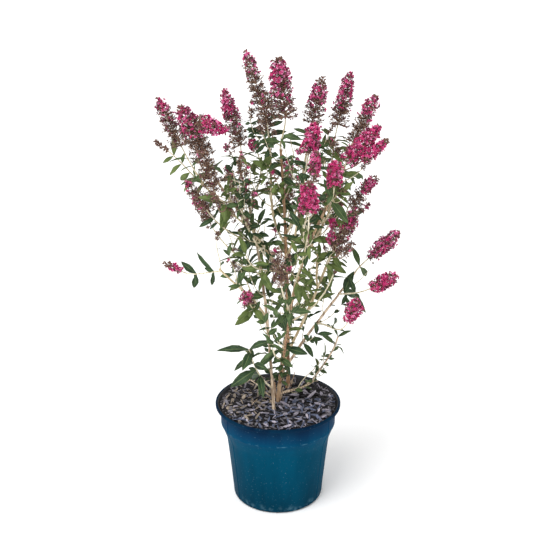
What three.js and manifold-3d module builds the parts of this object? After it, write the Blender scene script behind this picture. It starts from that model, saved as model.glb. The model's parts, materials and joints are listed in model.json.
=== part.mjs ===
// Butterfly bush in a nursery pot: millimetres, +Z up, origin at the middle of the pot's underside.
// +X is the right of the photographed side and -Y is that side itself.
import * as THREE from "three";
import { mergeVertices } from "three/addons/utils/BufferGeometryUtils.js";
import Module from "manifold-3d";

const wasm = await Module();
wasm.setup();

// Pot: a round tapered tub with a rolled lip, a collar and a sloping shoulder under it.
const POT_HEIGHT = 230;
const RIM_RADIUS = 140;
const LIP_HEIGHT = 8;
const LIP_WIDTH = 8;
const LIP_FILLET = 2;
const LIP_EDGE = 1.5;
const COLLAR_RADIUS = 130;
const COLLAR_FOOT_RADIUS = 128;
const COLLAR_FOOT_HEIGHT = 182;
const BODY_TOP_RADIUS = 116;
const BODY_TOP_HEIGHT = 150;
const BODY_FOOT_RADIUS = 101;
const FOOT_CORNER = 8;
const POT_WALL = 2.2;
const POT_FLOOR = 4;
const POT_FACETS = 36;
const SEAM_ANGLES = [-150, -30, 90];
const SEAM_WIDTH = 3;
const SEAM_PROUD = 1;
const SEAM_DEPTH = 1.6;
const SEAM_END_GAP = 4;

// Bark mulch: the fill of the pot with a layer of chips pressed into its top.
const MULCH_TOP = 222;
const MULCH_DIP = 1;
const MULCH_FLAT_RADIUS = 95;
const CHIP_COUNT = 28;
const CHIP_LENGTH = 24;
const CHIP_WIDTH = 10;
const CHIP_THICKNESS = 5;
const CHIP_TILT = 0.2;
const CHIP_CLEARANCE = 26;
const CHIP_WALL_GAP = 4;
const CHIP_RISE = 0.5;
const CHIP_SINK_AT_EDGE = 1.5;

// Plant: pieces that meet keep this gap.
const GAP = 0.3;
const CUT_GAP = 0.36;
const STEM_SIDES = 6;
const TWIG_SIDES = 3;
const TWIG_RADIUS = 2.5;
const TWIG_TIP_RADIUS = 1.7;
const STEM_STEP = 55;
const TWIG_STEP = 40;
const ROOT_FLARE = 0.4;
const ROOT_FLARE_HEIGHT = 20;
const FLARE_RING = 0.35;
const HANDLE = 0.36;
const STEM_LEAN_AT_FOOT = 0.4;
const STEM_LEAN_AT_TIP = 1.2;
const BOUGH_LIFT = 0.4;
const BOUGH_FOOT_SHARE = 0.8;
const BOUGH_TIP_SHARE = 0.9;
const TWIG_FOOT_SHARE = 0.85;
const FORK_SPLAY = 0.4;
const BOUGH_SPLAY = 0.62;
const TWIG_SPLAY = 0.75;
const RUNNER_SPLAY = 0.99;

// Leaves: opposite pairs, each pair turned a quarter from the last one.
const LEAF_LENGTH = 74;
const LEAF_LENGTH_AT_SPIKE = 52;
const LEAF_WIDTH = 0.35;
const LEAF_THICKNESS = 1.7;
const LEAF_WIDEST = 0.42;
const LEAF_FOLD = 0.05;
const LEAF_ARCH = 0.07;
const LEAF_SPACING = 43;
const FIRST_LEAF = 24;
const FIRST_LEAF_SHARE = 0.45;
const SIDE_TWIG_LENGTH = 52;
const SIDE_TWIG_RADIUS = 1.5;
const SIDE_TWIG_OPEN = 0.85;
const SIDE_LEAF_SCALE = 0.68;
const SIDE_LEAF_SPACING = 40;
const SIDE_TWIG_LIFT = 0.15;
const SIDE_TWIG_CURL = 0.5;
const SIDE_TWIG_END = 25;
const SIDE_TWIG_ROOM = 4;
const LEAF_OPEN = 1.07;
const LAST_LEAF_OPEN = 0.25;
const LAST_LEAF_AT = 0.98;
const LEAF_SWING = 0.4;
const LEAF_VARIES = [0.85, 1.15];
const LEAF_DROOP = 0.28;
const LEAF_ROLL = 0.5;
const LEAF_TRIES = 6;
const LEAF_SHRINK = 0.06;
const LEAF_CLEARANCE = 1.2;
const CROWN_LEFT = -258;
const CROWN_RIGHT = 256;
const CROWN_FRONT = -238;
const CROWN_BACK = 220;
const OWN_ROOT = 26;
const BALL_STEP = 5;
const BALL_MARGIN = 0.5;
const LEAF_BALLS = [0.08, 0.2, 0.35, 0.5, 0.65, 0.8, 0.95];
const SIDE_TWIG_BALLS = [0.3, 0.45, 0.6, 0.75, 0.9, 1];

// Flower spikes: tapering cones of tiers, each tier a ring of knots.
const SPIKE_SIDES = 5;
const TIER_HEIGHT = 18.1;
const TIER_WAIST = 0.8;
const SPIKE_BLUNTNESS = 4;
const SPIKE_TIP_SHARE = 0.7;
const SPIKE_BASE_DEPTH = 3;
const FEWEST_TIERS = 3;

const UP = new THREE.Vector3(0, 0, 1);
const SEED = 20;

const finish = (color, roughness) =>
  new THREE.MeshStandardMaterial({ color, roughness, metalness: 0 });
const POT_BLUE = finish(0x0b4f78, 0.45);
const MULCH_GREY = finish(0x4a4748, 0.95);
const OLD_WOOD = finish(0x8d6f52, 0.85);
const YOUNG_WOOD = finish(0xb9a883, 0.8);
const FLOWERING = finish(0xa8346f, 0.75);
const LEAFY = finish(0x4c6b3f, 0.7);

// Stems rise from the mulch: foot [x, y], tip [x, y, z], radius at foot and at tip.
const STEMS = [
  { name: "stem_centre", foot: [24, 73], tip: [5, -6, 800], radius: [4.8, 2.6] },
  { name: "stem_left", foot: [-9, -34], tip: [-84, 98, 740], radius: [3.4, 2.6] },
  { name: "stem_right", foot: [0, 4], tip: [100, -70, 700], radius: [4.4, 2.6] },
  { name: "stem_cut_stub", foot: [-7, 22], tip: [-9, 20, 264], radius: [3, 2.6] },
];

// Boughs fork from a limb at a share of its length: tip, radius at both ends, and how far they splay.
// They end where their shoots begin.
const fork = (name, on, at, tip, radius, splay) => ({ name, on, at, tip, radius, splay });
const BOUGHS = [
  fork("bough_left", "stem_centre", 0.45, [-125, -10, 735], [3.8, 2.6], FORK_SPLAY),
  fork("bough_right_outer", "stem_right", 0.2, [140, 5, 640], [4, 2.4], FORK_SPLAY),
  fork("bough_right_low", "stem_right", 0.13, [165, 10, 530], [3.4, 2.4], FORK_SPLAY),
  fork("bough_left_low", "stem_left", 0.38, [-125, -10, 545], [2.9, 2.4], FORK_SPLAY),
  fork("bough_back", "stem_centre", 0.14, [18, 145, 560], [4.2, 2.4], FORK_SPLAY),
  fork("bough_front", "stem_right", 0.09, [22, -120, 470], [3.2, 2.4], FORK_SPLAY),
  fork("bough_left_far", "bough_left", 0.55, [-170, 18, 745], [2.8, 2.5], BOUGH_SPLAY),
  fork("bough_top_left", "stem_centre", 0.62, [-18, 25, 800], [2.8, 2.5], BOUGH_SPLAY),
  fork("bough_upper_right", "stem_centre", 0.66, [58, 42, 775], [2.9, 2.5], BOUGH_SPLAY),
  fork("bough_inner_right", "stem_centre", 0.57, [52, -45, 745], [2.9, 2.5], BOUGH_SPLAY),
  fork("bough_right_high", "stem_right", 0.72, [130, -5, 735], [2.8, 2.5], BOUGH_SPLAY),
  fork("bough_right_back", "bough_right_outer", 0.55, [115, 85, 745], [2.6, 2.3], BOUGH_SPLAY),
  fork("bough_low_right", "stem_right", 0.04, [78, 52, 250], [2.9, 2.5], RUNNER_SPLAY),
];

// Shoots leave a limb at a share of its length. A flowering one is a leafy twig up to its spike's foot
// and then a spike of that girth up to its tip. One that grows on another shoot is part of that shoot.
const flowering = (name, on, at, foot, tip, girth) => ({ name, on, at, foot, tip, girth });
const leafy = (name, on, at, tip) => ({ name, on, at, tip });
const SHOOTS = [
  flowering("top_left", "bough_top_left", 1, [-30, 45, 875], [-66, 55, 990], 19),
  flowering("top_faded", "top_left", 0.3, [-26, 8, 838], [-20, 12, 910], 20),
  flowering("crown", "stem_centre", 1, [14, -10, 865], [-1, -10, 984], 28),
  flowering("upper_right", "bough_upper_right", 1, [70, 50, 845], [92, 58, 938], 21),
  flowering("right_back", "bough_right_back", 1, [128, 110, 830], [154, 120, 940], 20),
  flowering("right_high", "bough_right_high", 1, [155, 40, 806], [200, 40, 902], 20),
  flowering("right_shoulder", "bough_right_high", 0.7, [138, -40, 781], [200, -50, 856], 21),
  flowering("right_shoulder_side", "right_shoulder", 0.8, [168, -58, 788], [217, -62, 830], 15),
  flowering("inner_high", "bough_inner_right", 1, [61, -60, 805], [74, -60, 862], 20),
  flowering("inner_mid", "stem_right", 0.78, [67, -120, 759], [72, -120, 818], 14),
  flowering("inner_low", "stem_right", 0.6, [58, -170, 713], [57, -172, 773], 20),
  flowering("bright_right", "stem_right", 1, [108, -110, 748], [109, -112, 798], 19),
  flowering("right_mid", "bough_right_outer", 1, [149, 0, 681], [203, 0, 742], 18),
  flowering("right_mid_side", "right_mid", 0.6, [158, -26, 670], [188, -28, 690], 12),
  flowering("right_low_mid", "bough_right_outer", 0.72, [114, -60, 602], [157, -60, 672], 17),
  flowering("right_low_side", "right_low_mid", 0.8, [120, -82, 598], [144, -86, 620], 12),
  flowering("right_far", "bough_right_low", 1, [195, 20, 559], [258, 20, 618], 20),
  flowering("right_lower_far", "bough_right_low", 0.8, [195, -40, 512], [250, -40, 540], 20),
  flowering("right_lowest", "bough_right_low", 0.5, [143, -110, 466], [161, -118, 516], 20),
  flowering("left_inner_high", "stem_left", 1, [-80, 80, 791], [-114, 90, 909], 20),
  flowering("left_far_high", "bough_left_far", 1, [-201, 30, 801], [-245, 30, 899], 20),
  flowering("left_cluster", "bough_left", 1, [-150, -10, 789], [-194, -20, 890], 28),
  flowering("left_lying", "left_cluster", 0.6, [-152, -42, 850], [-98, -46, 838], 16),
  flowering("left_bud", "bough_left_far", 0.75, [-232, 60, 783], [-260, 62, 805], 6),
  flowering("left_faded", "bough_left", 0.8, [-128, -60, 728], [-150, -62, 809], 21),
  flowering("left_small", "left_faded", 0.35, [-120, -100, 706], [-127, -104, 732], 12),
  flowering("left_mid", "bough_left", 0.4, [-150, 0, 673], [-190, 0, 734], 17),
  flowering("left_low_far", "bough_left_low", 0.95, [-207, 0, 536], [-243, 0, 556], 11),
  flowering("left_low_small", "bough_left_low", 0.22, [-59, -60, 484], [-71, -62, 512], 17),
  flowering("inner_back", "stem_left", 0.85, [-48, 130, 771], [-61, 132, 795], 15),
  flowering("front_faded", "bough_front", 1, [5, -220, 588], [-4, -220, 657], 18),
  flowering("inner_left", "stem_centre", 0.5, [-77, -40, 744], [-74, -40, 801], 8),
  flowering("back_high", "bough_back", 1, [25, 170, 640], [22, 185, 740], 19),
  flowering("back_left", "bough_back", 0.75, [-90, 185, 620], [-112, 200, 710], 18),
  flowering("back_right", "bough_back", 0.8, [110, 185, 620], [135, 200, 705], 18),
  flowering("back_low_left", "stem_left", 0.55, [-150, 130, 600], [-190, 150, 665], 16),
  flowering("back_low_right", "bough_right_outer", 0.45, [140, 140, 570], [180, 165, 635], 16),
  leafy("low_left", "stem_left", 0.09, [-62, -50, 377]),
  leafy("low_right", "bough_low_right", 1, [133, 20, 377]),
  leafy("low_front", "bough_front", 0.4, [-14, -118, 425]),
  leafy("low_back", "bough_back", 0.35, [70, 150, 455]),
  leafy("inner_leaves_left", "bough_left", 0.12, [-66, -85, 600]),
  leafy("inner_leaves_right", "stem_right", 0.4, [112, -90, 560]),
  leafy("inner_leaves_back", "stem_left", 0.35, [-85, 130, 520]),
];

// Repeatable random numbers between two limits, from one seed.
function dice(seed) {
  let state = seed;
  return (low, high) => {
    state = (state * 1664525 + 1013904223) % 4294967296;
    return low + ((high - low) * state) / 4294967296;
  };
}

const point = (numbers) => new THREE.Vector3(...numbers);
const mix = (a, b, share) => a + (b - a) * share;

// A closed geometry as a solid that can be joined and cut, and back again.
function solidOf(geometry, weld = 1e-4) {
  const bare = geometry.clone();
  bare.deleteAttribute("normal");
  bare.deleteAttribute("uv");
  const merged = mergeVertices(bare, weld);
  return new wasm.Manifold(
    new wasm.Mesh({
      numProp: 3,
      vertProperties: merged.attributes.position.array,
      triVerts: new Uint32Array(merged.index.array),
    }),
  );
}

function geometryOf(solid) {
  const { vertProperties, triVerts } = solid.getMesh();
  const geometry = new THREE.BufferGeometry();
  geometry.setAttribute("position", new THREE.BufferAttribute(vertProperties, 3));
  geometry.setIndex(new THREE.BufferAttribute(triVerts, 1));
  geometry.computeVertexNormals();
  return geometry;
}

function facesOf(corners, faces) {
  const geometry = new THREE.BufferGeometry().setFromPoints(corners);
  geometry.setIndex(faces.flat());
  return geometry;
}

// The largest body of a cut piece: scraps that a cut leaves loose are dropped.
function largest(solid) {
  const bodies = solidOf(geometryOf(solid), 1e-3).decompose();
  return bodies.reduce((kept, body) => (body.volume() > kept.volume() ? body : kept));
}

// Three directions that follow a curve: along it and two across it.
function frameAt(curve, share, along = curve.getTangent(share)) {
  const chord = curve.getPoint(1).sub(curve.getPoint(0)).normalize();
  const reference = Math.abs(chord.x) < 0.8 ? new THREE.Vector3(1, 0, 0) : new THREE.Vector3(0, 1, 0);
  const across = reference.addScaledVector(along, -reference.dot(along)).normalize();
  return { along, across, over: new THREE.Vector3().crossVectors(along, across) };
}

function ringAt(centre, frame, radius, sides, turn = 0) {
  return Array.from({ length: sides }, (_, k) => {
    const angle = ((k + turn) * 2 * Math.PI) / sides;
    return centre
      .clone()
      .addScaledVector(frame.across, radius * Math.cos(angle))
      .addScaledVector(frame.over, radius * Math.sin(angle));
  });
}

// Faces between neighbouring rings of corners that start at index 0, with both ends closed flat.
function tubeFaces(rings, sides) {
  const faces = [];
  for (let ring = 0; ring < rings - 1; ring++) {
    for (let k = 0; k < sides; k++) {
      const a = ring * sides + k;
      const b = ring * sides + ((k + 1) % sides);
      faces.push([a, b, b + sides], [a, b + sides, a + sides]);
    }
  }
  const last = (rings - 1) * sides;
  for (let k = 1; k < sides - 1; k++) {
    faces.push([0, k + 1, k], [last, last + k, last + k + 1]);
  }
  return faces;
}

// A tapering limb along its curve. A grounded one has a level foot that flares.
function limbSolid(limb, extra = 0) {
  const steps = Math.max(2, Math.round(limb.curve.getLength() / limb.step));
  const shares = Array.from({ length: steps + 1 }, (_, k) => k / steps);
  if (limb.grounded) shares.splice(1, 0, FLARE_RING / steps);
  const corners = shares.flatMap((share) => {
    const level = limb.grounded && share === 0;
    const frame = frameAt(limb.curve, share, level ? UP.clone() : undefined);
    return ringAt(limb.curve.getPoint(share), frame, limb.radiusAt(share) + extra, limb.sides);
  });
  return solidOf(facesOf(corners, tubeFaces(shares.length, limb.sides)));
}

function smoothCurve(start, startWay, end, endWay) {
  const reach = HANDLE * start.distanceTo(end);
  return new THREE.CubicBezierCurve3(
    start,
    start.clone().addScaledVector(startWay, reach),
    end.clone().addScaledVector(endWay, -reach),
    end,
  );
}

// The way a side limb leaves its parent: partly outwards and partly along it.
function leavingWay(parent, at, target, splay) {
  const along = parent.curve.getTangent(at);
  if (at === 1) return along;
  const out = target.clone().sub(parent.curve.getPoint(at));
  out.addScaledVector(along, -out.dot(along)).normalize();
  return out.multiplyScalar(splay).addScaledVector(along, Math.sqrt(1 - splay * splay));
}

// Stems and boughs by name.
const limbs = new Map();

function growStem({ name, foot, tip, radius }) {
  const start = point([...foot, MULCH_TOP + GAP]);
  const end = point(tip);
  const chord = end.clone().sub(start).normalize();
  const lean = new THREE.Vector3(chord.x, chord.y, 0);
  const curve = smoothCurve(
    start,
    UP.clone().addScaledVector(lean, STEM_LEAN_AT_FOOT).normalize(),
    end,
    chord.clone().addScaledVector(lean, STEM_LEAN_AT_TIP).normalize(),
  );
  const flareShare = ROOT_FLARE_HEIGHT / curve.getLength();
  const radiusAt = (share) =>
    mix(...radius, share) * (1 + ROOT_FLARE * Math.max(0, 1 - share / flareShare) ** 2);
  limbs.set(name, { name, curve, radiusAt, sides: STEM_SIDES, step: STEM_STEP, grounded: true });
}

function growBough({ name, on, at, tip, radius, splay }) {
  const parent = limbs.get(on);
  const end = point(tip);
  const start = parent.curve.getPoint(at);
  const chord = end.clone().sub(start).normalize();
  const curve = smoothCurve(
    start,
    leavingWay(parent, at, end, splay),
    end,
    chord.addScaledVector(UP, splay > FORK_SPLAY ? BOUGH_LIFT : 0).normalize(),
  );
  const foot = Math.min(radius[0], parent.radiusAt(at) * BOUGH_FOOT_SHARE);
  const radiusAt = (share) => mix(foot, Math.min(radius[1], foot * BOUGH_TIP_SHARE), share);
  limbs.set(name, { name, curve, radiusAt, sides: STEM_SIDES, step: STEM_STEP, parent });
}

STEMS.forEach(growStem);
BOUGHS.forEach(growBough);

// Twigs of the shoots by name. A twig on a limb's tip starts just clear of it.
const twigs = new Map();

function growTwig({ name, on, at, foot, tip, girth }) {
  const parent = limbs.get(on) ?? twigs.get(on);
  const spikeTip = point(tip);
  const end = foot ? point(foot) : spikeTip;
  const start = parent.curve.getPoint(at);
  const startWay = leavingWay(parent, at, end, TWIG_SPLAY);
  if (at === 1) start.addScaledVector(startWay, GAP);
  const endWay = foot ? spikeTip.clone().sub(end) : end.clone().sub(start).normalize().add(UP);
  const curve = smoothCurve(start, startWay, end, endWay.normalize());
  const thick = Math.min(TWIG_RADIUS, parent.radiusAt(at) * TWIG_FOOT_SHARE);
  const radiusAt = (share) => mix(thick, Math.min(TWIG_TIP_RADIUS, thick), share);
  const node = twigs.has(on) ? parent.node : `shoot_${name}`;
  const cutBy = limbs.has(on) && at < 1 ? parent : null;
  const tube = { curve, radiusAt, sides: TWIG_SIDES, step: TWIG_STEP };
  twigs.set(name, { name, node, ...tube, cutBy, spikeTip, girth });
}

SHOOTS.forEach(growTwig);

// Space that is taken, as balls: limbs, twigs and spikes first, then each leaf as it is placed.
const taken = [];

function takeTube(node, curve, radiusAt, kind) {
  const count = Math.ceil(curve.getLength() / BALL_STEP);
  for (let k = 0; k <= count; k++) {
    const share = k / count;
    taken.push({ node, kind, centre: curve.getPoint(share), radius: radiusAt(share) + BALL_MARGIN });
  }
}

const spikeWidth = (share) =>
  Math.sqrt(Math.max(0, 1 - share ** SPIKE_BLUNTNESS)) * mix(1, SPIKE_TIP_SHARE, share);

function spikeCurve(twig) {
  return new THREE.LineCurve3(twig.curve.getPoint(1), twig.spikeTip);
}

limbs.forEach((limb) => takeTube(limb.name, limb.curve, limb.radiusAt, "limb"));
twigs.forEach((twig) => {
  takeTube(twig.node, twig.curve, twig.radiusAt, "twig");
  if (twig.girth) takeTube(twig.node, spikeCurve(twig), (share) => twig.girth * spikeWidth(share), "spike");
});

function leafBalls(leaf) {
  return LEAF_BALLS.map((share) => {
    const centre = leaf.root.clone().lerp(leaf.tip, share);
    centre.addScaledVector(leaf.face, leaf.arch * Math.sin(share * Math.PI));
    const spread = share < LEAF_WIDEST ? share / LEAF_WIDEST : (1 - share) / (1 - LEAF_WIDEST);
    return { centre, radius: leaf.halfWidth * spread + LEAF_CLEARANCE };
  });
}

function isClear(balls, root, node) {
  return balls.every((ball) =>
    taken.every((other) => {
      const own = other.node === node;
      if (own && (other.kind === "twig" || root.distanceTo(ball.centre) < OWN_ROOT)) return true;
      return ball.centre.distanceTo(other.centre) > ball.radius + other.radius;
    }),
  );
}

// One leaf: it leaves the twig at an angle, droops to its tip and shows its face to the sky.
function leafShape(root, way, length, droop, roll) {
  const tip = root.clone().addScaledVector(way, length).addScaledVector(UP, -droop * length);
  const along = tip.clone().sub(root).normalize();
  const face = UP.clone().addScaledVector(along, -along.z).normalize().applyAxisAngle(along, roll);
  return { root, tip, along, face, arch: LEAF_ARCH * length, halfWidth: (LEAF_WIDTH * length) / 2 };
}

// Eight faces: root, tip, two edges and the two sides of the midrib.
function leafSolid({ root, tip, along, face, arch, halfWidth }) {
  const middle = root.clone().lerp(tip, LEAF_WIDEST).addScaledVector(face, arch);
  const sideways = new THREE.Vector3().crossVectors(face, along);
  const fold = LEAF_FOLD * root.distanceTo(tip);
  const left = middle.clone().addScaledVector(sideways, halfWidth).addScaledVector(face, fold);
  const right = middle.clone().addScaledVector(sideways, -halfWidth).addScaledVector(face, fold);
  const top = middle.clone().addScaledVector(face, LEAF_THICKNESS / 2);
  const under = middle.clone().addScaledVector(face, -LEAF_THICKNESS / 2);
  const corners = [root, tip, left, right, top, under];
  const upper = [[0, 3, 4], [3, 1, 4], [1, 2, 4], [2, 0, 4]];
  const lower = [[3, 0, 5], [1, 3, 5], [2, 1, 5], [0, 2, 5]];
  return solidOf(facesOf(corners, [...upper, ...lower]));
}

// A direction that opens by an angle from the twig, turned around it.
function openWay(frame, open, turn) {
  return frame.along
    .clone()
    .multiplyScalar(Math.cos(open))
    .addScaledVector(frame.across, Math.sin(open) * Math.cos(turn))
    .addScaledVector(frame.over, Math.sin(open) * Math.sin(turn));
}

// Leaf tips stay inside the reach of the outer spikes.
function isWithinCrown({ x, y }) {
  return x > CROWN_LEFT && x < CROWN_RIGHT && y > CROWN_FRONT && y < CROWN_BACK;
}

// One leaf at a share of its twig, tried a few times and skipped where no space is left.
function leafAt(twig, share, turn, open, roll) {
  for (let attempt = 0; attempt < LEAF_TRIES; attempt++) {
    const swing = roll(-LEAF_SWING, LEAF_SWING) * (1 + attempt);
    const way = openWay(frameAt(twig.curve, share), open * roll(...LEAF_VARIES), turn + swing);
    const size = mix(LEAF_LENGTH, LEAF_LENGTH_AT_SPIKE, share) * (twig.leafScale ?? 1) * roll(...LEAF_VARIES);
    const droop = roll(0, LEAF_DROOP);
    const root = twig.curve.getPoint(share);
    const length = size * (1 - LEAF_SHRINK * attempt);
    const leaf = leafShape(root, way, length, droop, roll(-LEAF_ROLL, LEAF_ROLL));
    if (!isWithinCrown(leaf.tip) || !isClear(leafBalls(leaf), leaf.root, twig.node)) continue;
    leafBalls(leaf).forEach((ball) => taken.push({ node: twig.node, kind: "leaf", ...ball }));
    return [leaf];
  }
  return [];
}

// Leaves of one twig in pairs, and one more at the end of a twig that has no spike.
function leavesOf(twig, spacing, roll) {
  const length = twig.curve.getLength();
  const first = Math.min(FIRST_LEAF, length * FIRST_LEAF_SHARE);
  const pairs = Math.max(1, Math.floor((length - first) / spacing) + 1);
  const turn = roll(0, Math.PI);
  const leaves = [];
  for (let pair = 0; pair < pairs; pair++) {
    const share = Math.min(LAST_LEAF_AT, (first + pair * spacing) / length);
    for (const half of [0, Math.PI]) {
      leaves.push(...leafAt(twig, share, turn + pair * (Math.PI / 2) + half, LEAF_OPEN, roll));
    }
  }
  return twig.girth ? leaves : [...leaves, ...leafAt(twig, LAST_LEAF_AT, 0, LAST_LEAF_OPEN, roll)];
}

// Short leafy side twigs between the leaf pairs, alternately to either side.
function sideTwigsOf(twig, roll) {
  const length = twig.curve.getLength();
  const sides = [];
  const step = 2 * LEAF_SPACING;
  for (let reach = FIRST_LEAF + LEAF_SPACING / 2; reach < length - SIDE_TWIG_END; reach += step) {
    const share = reach / length;
    const frame = frameAt(twig.curve, share);
    for (let attempt = 0; attempt < LEAF_TRIES; attempt++) {
      const way = openWay(frame, SIDE_TWIG_OPEN, roll(0, 2 * Math.PI));
      const size = SIDE_TWIG_LENGTH * roll(0.75, 1.1);
      const start = twig.curve.getPoint(share);
      const end = start.clone().addScaledVector(way, size).addScaledVector(UP, SIDE_TWIG_LIFT * size);
      const endWay = way.clone().addScaledVector(UP, SIDE_TWIG_CURL).normalize();
      const curve = smoothCurve(start, way, end, endWay);
      const balls = SIDE_TWIG_BALLS.map((at) => ({ centre: curve.getPoint(at), radius: SIDE_TWIG_ROOM }));
      if (!isClear(balls, start, twig.node)) continue;
      const tube = { curve, radiusAt: () => SIDE_TWIG_RADIUS, sides: TWIG_SIDES, step: SIDE_TWIG_LENGTH };
      takeTube(twig.node, curve, tube.radiusAt, "twig");
      sides.push({ node: twig.node, ...tube, leafScale: SIDE_LEAF_SCALE });
      break;
    }
  }
  return sides;
}

// A flower spike: rings that swell and narrow by turns, drawn in to a point.
function spikeSolid(twig, roll) {
  const curve = spikeCurve(twig);
  const tiers = Math.max(FEWEST_TIERS, Math.round(curve.getLength() / TIER_HEIGHT));
  const rings = 2 * tiers;
  const corners = [];
  for (let ring = 0; ring < rings; ring++) {
    const share = ring / rings;
    const frame = frameAt(curve, share);
    const swell = ring % 2 === 0 ? TIER_WAIST : 1;
    const radius = twig.girth * spikeWidth(share) * swell * roll(0.9, 1.05);
    corners.push(...ringAt(curve.getPoint(share), frame, radius, SPIKE_SIDES, ring / 2));
  }
  const faces = tubeFaces(rings, SPIKE_SIDES).slice(0, (rings - 1) * SPIKE_SIDES * 2);
  const last = (rings - 1) * SPIKE_SIDES;
  const tip = corners.push(curve.getPoint(1)) - 1;
  const base = corners.push(curve.getPoint(0).addScaledVector(curve.getTangent(0), -SPIKE_BASE_DEPTH)) - 1;
  for (let k = 0; k < SPIKE_SIDES; k++) {
    const next = (k + 1) % SPIKE_SIDES;
    faces.push([base, next, k], [tip, last + k, last + next]);
  }
  return solidOf(facesOf(corners, faces));
}

// Round tapered tub, turned from one profile, with slim mould seams on its body.
function potGeometry() {
  const arc = (centreX, centreY, radius, from, to, steps) =>
    Array.from({ length: steps + 1 }, (_, k) => {
      const angle = mix(from, to, k / steps);
      return new THREE.Vector2(centreX + radius * Math.cos(angle), centreY + radius * Math.sin(angle));
    });
  const lipFoot = POT_HEIGHT - LIP_HEIGHT;
  const lipRound = LIP_WIDTH / 2;
  const at = (x, y) => new THREE.Vector2(x, y);
  const outside = [
    at(0, 0),
    ...arc(BODY_FOOT_RADIUS - FOOT_CORNER, FOOT_CORNER, FOOT_CORNER, -Math.PI / 2, -0.1, 2),
    at(BODY_TOP_RADIUS, BODY_TOP_HEIGHT),
    at(COLLAR_FOOT_RADIUS, COLLAR_FOOT_HEIGHT),
    at(COLLAR_RADIUS, lipFoot - LIP_FILLET),
    at(RIM_RADIUS - LIP_EDGE, lipFoot),
    ...arc(RIM_RADIUS - lipRound, POT_HEIGHT - lipRound, lipRound, -0.4, Math.PI, 4),
  ];
  const inside = [
    at(COLLAR_RADIUS - POT_WALL, lipFoot - 2 * LIP_FILLET),
    at(COLLAR_FOOT_RADIUS - POT_WALL, COLLAR_FOOT_HEIGHT),
    at(BODY_TOP_RADIUS - POT_WALL, BODY_TOP_HEIGHT),
    at(BODY_FOOT_RADIUS - POT_WALL, POT_FLOOR),
    at(0, POT_FLOOR),
  ];
  const tub = solidOf(new THREE.LatheGeometry([...outside, ...inside], POT_FACETS).rotateX(Math.PI / 2));
  const seams = SEAM_ANGLES.map((degrees) => seamSolid(THREE.MathUtils.degToRad(degrees)));
  return geometryOf(wasm.Manifold.union([tub, ...seams]));
}

// A slim upright ridge that follows the slope of the pot's body.
function seamSolid(angle) {
  const low = FOOT_CORNER + SEAM_END_GAP;
  const slope = (BODY_TOP_RADIUS - BODY_FOOT_RADIUS) / (BODY_TOP_HEIGHT - FOOT_CORNER);
  const outline = new THREE.Shape([
    new THREE.Vector2(BODY_FOOT_RADIUS - SEAM_DEPTH, low),
    new THREE.Vector2(BODY_FOOT_RADIUS + (low - FOOT_CORNER) * slope + SEAM_PROUD, low),
    new THREE.Vector2(BODY_TOP_RADIUS + SEAM_PROUD, BODY_TOP_HEIGHT - 1),
    new THREE.Vector2(BODY_TOP_RADIUS - SEAM_DEPTH, BODY_TOP_HEIGHT - 1),
  ]);
  const ridge = new THREE.ExtrudeGeometry(outline, { depth: SEAM_WIDTH, bevelEnabled: false });
  ridge.translate(0, 0, -SEAM_WIDTH / 2).rotateX(Math.PI / 2).rotateZ(angle);
  return solidOf(ridge);
}

// The mulch fills the pot to just under the lip. Its middle is level, where the stems come out.
function mulchGeometry() {
  const at = (x, y) => new THREE.Vector2(x, y);
  const inset = POT_WALL + GAP * 2;
  const edge = MULCH_TOP - MULCH_DIP;
  const collarTop = POT_HEIGHT - LIP_HEIGHT - 2 * LIP_FILLET;
  const edgeShare = (edge - COLLAR_FOOT_HEIGHT) / (collarTop - COLLAR_FOOT_HEIGHT);
  const edgeRadius = mix(COLLAR_FOOT_RADIUS, COLLAR_RADIUS, edgeShare) - inset;
  const fill = solidOf(
    new THREE.LatheGeometry(
      [
        at(0, POT_FLOOR + GAP),
        at(BODY_FOOT_RADIUS - inset, POT_FLOOR + GAP),
        at(BODY_TOP_RADIUS - inset, BODY_TOP_HEIGHT),
        at(COLLAR_FOOT_RADIUS - inset, COLLAR_FOOT_HEIGHT),
        at(edgeRadius, edge),
        at(MULCH_FLAT_RADIUS, MULCH_TOP),
        at(0, MULCH_TOP),
      ],
      POT_FACETS,
    ).rotateX(Math.PI / 2),
  );
  return geometryOf(wasm.Manifold.union([fill, ...chipSolids()]));
}

// Bark chips that stand out of the mulch, clear of the limbs that are low and of the pot's wall.
function chipSolids() {
  const roll = dice(SEED);
  const farthest = COLLAR_RADIUS - POT_WALL - CHIP_LENGTH / 2 - CHIP_WALL_GAP;
  const low = [...limbs.values()]
    .flatMap(({ curve }) => curve.getPoints(24))
    .filter(({ z }) => z < MULCH_TOP + CHIP_LENGTH);
  const chips = [];
  while (chips.length < CHIP_COUNT) {
    const reach = farthest * Math.sqrt(roll(0, 1));
    const angle = roll(0, 2 * Math.PI);
    const spot = new THREE.Vector2(reach * Math.cos(angle), reach * Math.sin(angle));
    if (low.some(({ x, y }) => Math.hypot(x - spot.x, y - spot.y) < CHIP_CLEARANCE)) continue;
    const length = CHIP_LENGTH * roll(0.7, 1);
    const chip = new THREE.BoxGeometry(length, CHIP_WIDTH * roll(0.6, 1.1), CHIP_THICKNESS);
    chip.rotateX(roll(-CHIP_TILT, CHIP_TILT)).rotateY(roll(-CHIP_TILT, CHIP_TILT));
    chip.rotateZ(roll(0, Math.PI));
    const height = MULCH_TOP + (reach > MULCH_FLAT_RADIUS ? -CHIP_SINK_AT_EDGE : CHIP_RISE);
    chips.push(solidOf(chip.translate(spot.x, spot.y, height)));
  }
  return chips;
}

function limbGeometry(limb) {
  const whole = limbSolid(limb);
  if (!limb.parent) return geometryOf(whole);
  return geometryOf(largest(whole.subtract(limbSolid(limb.parent, CUT_GAP))));
}

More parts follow.
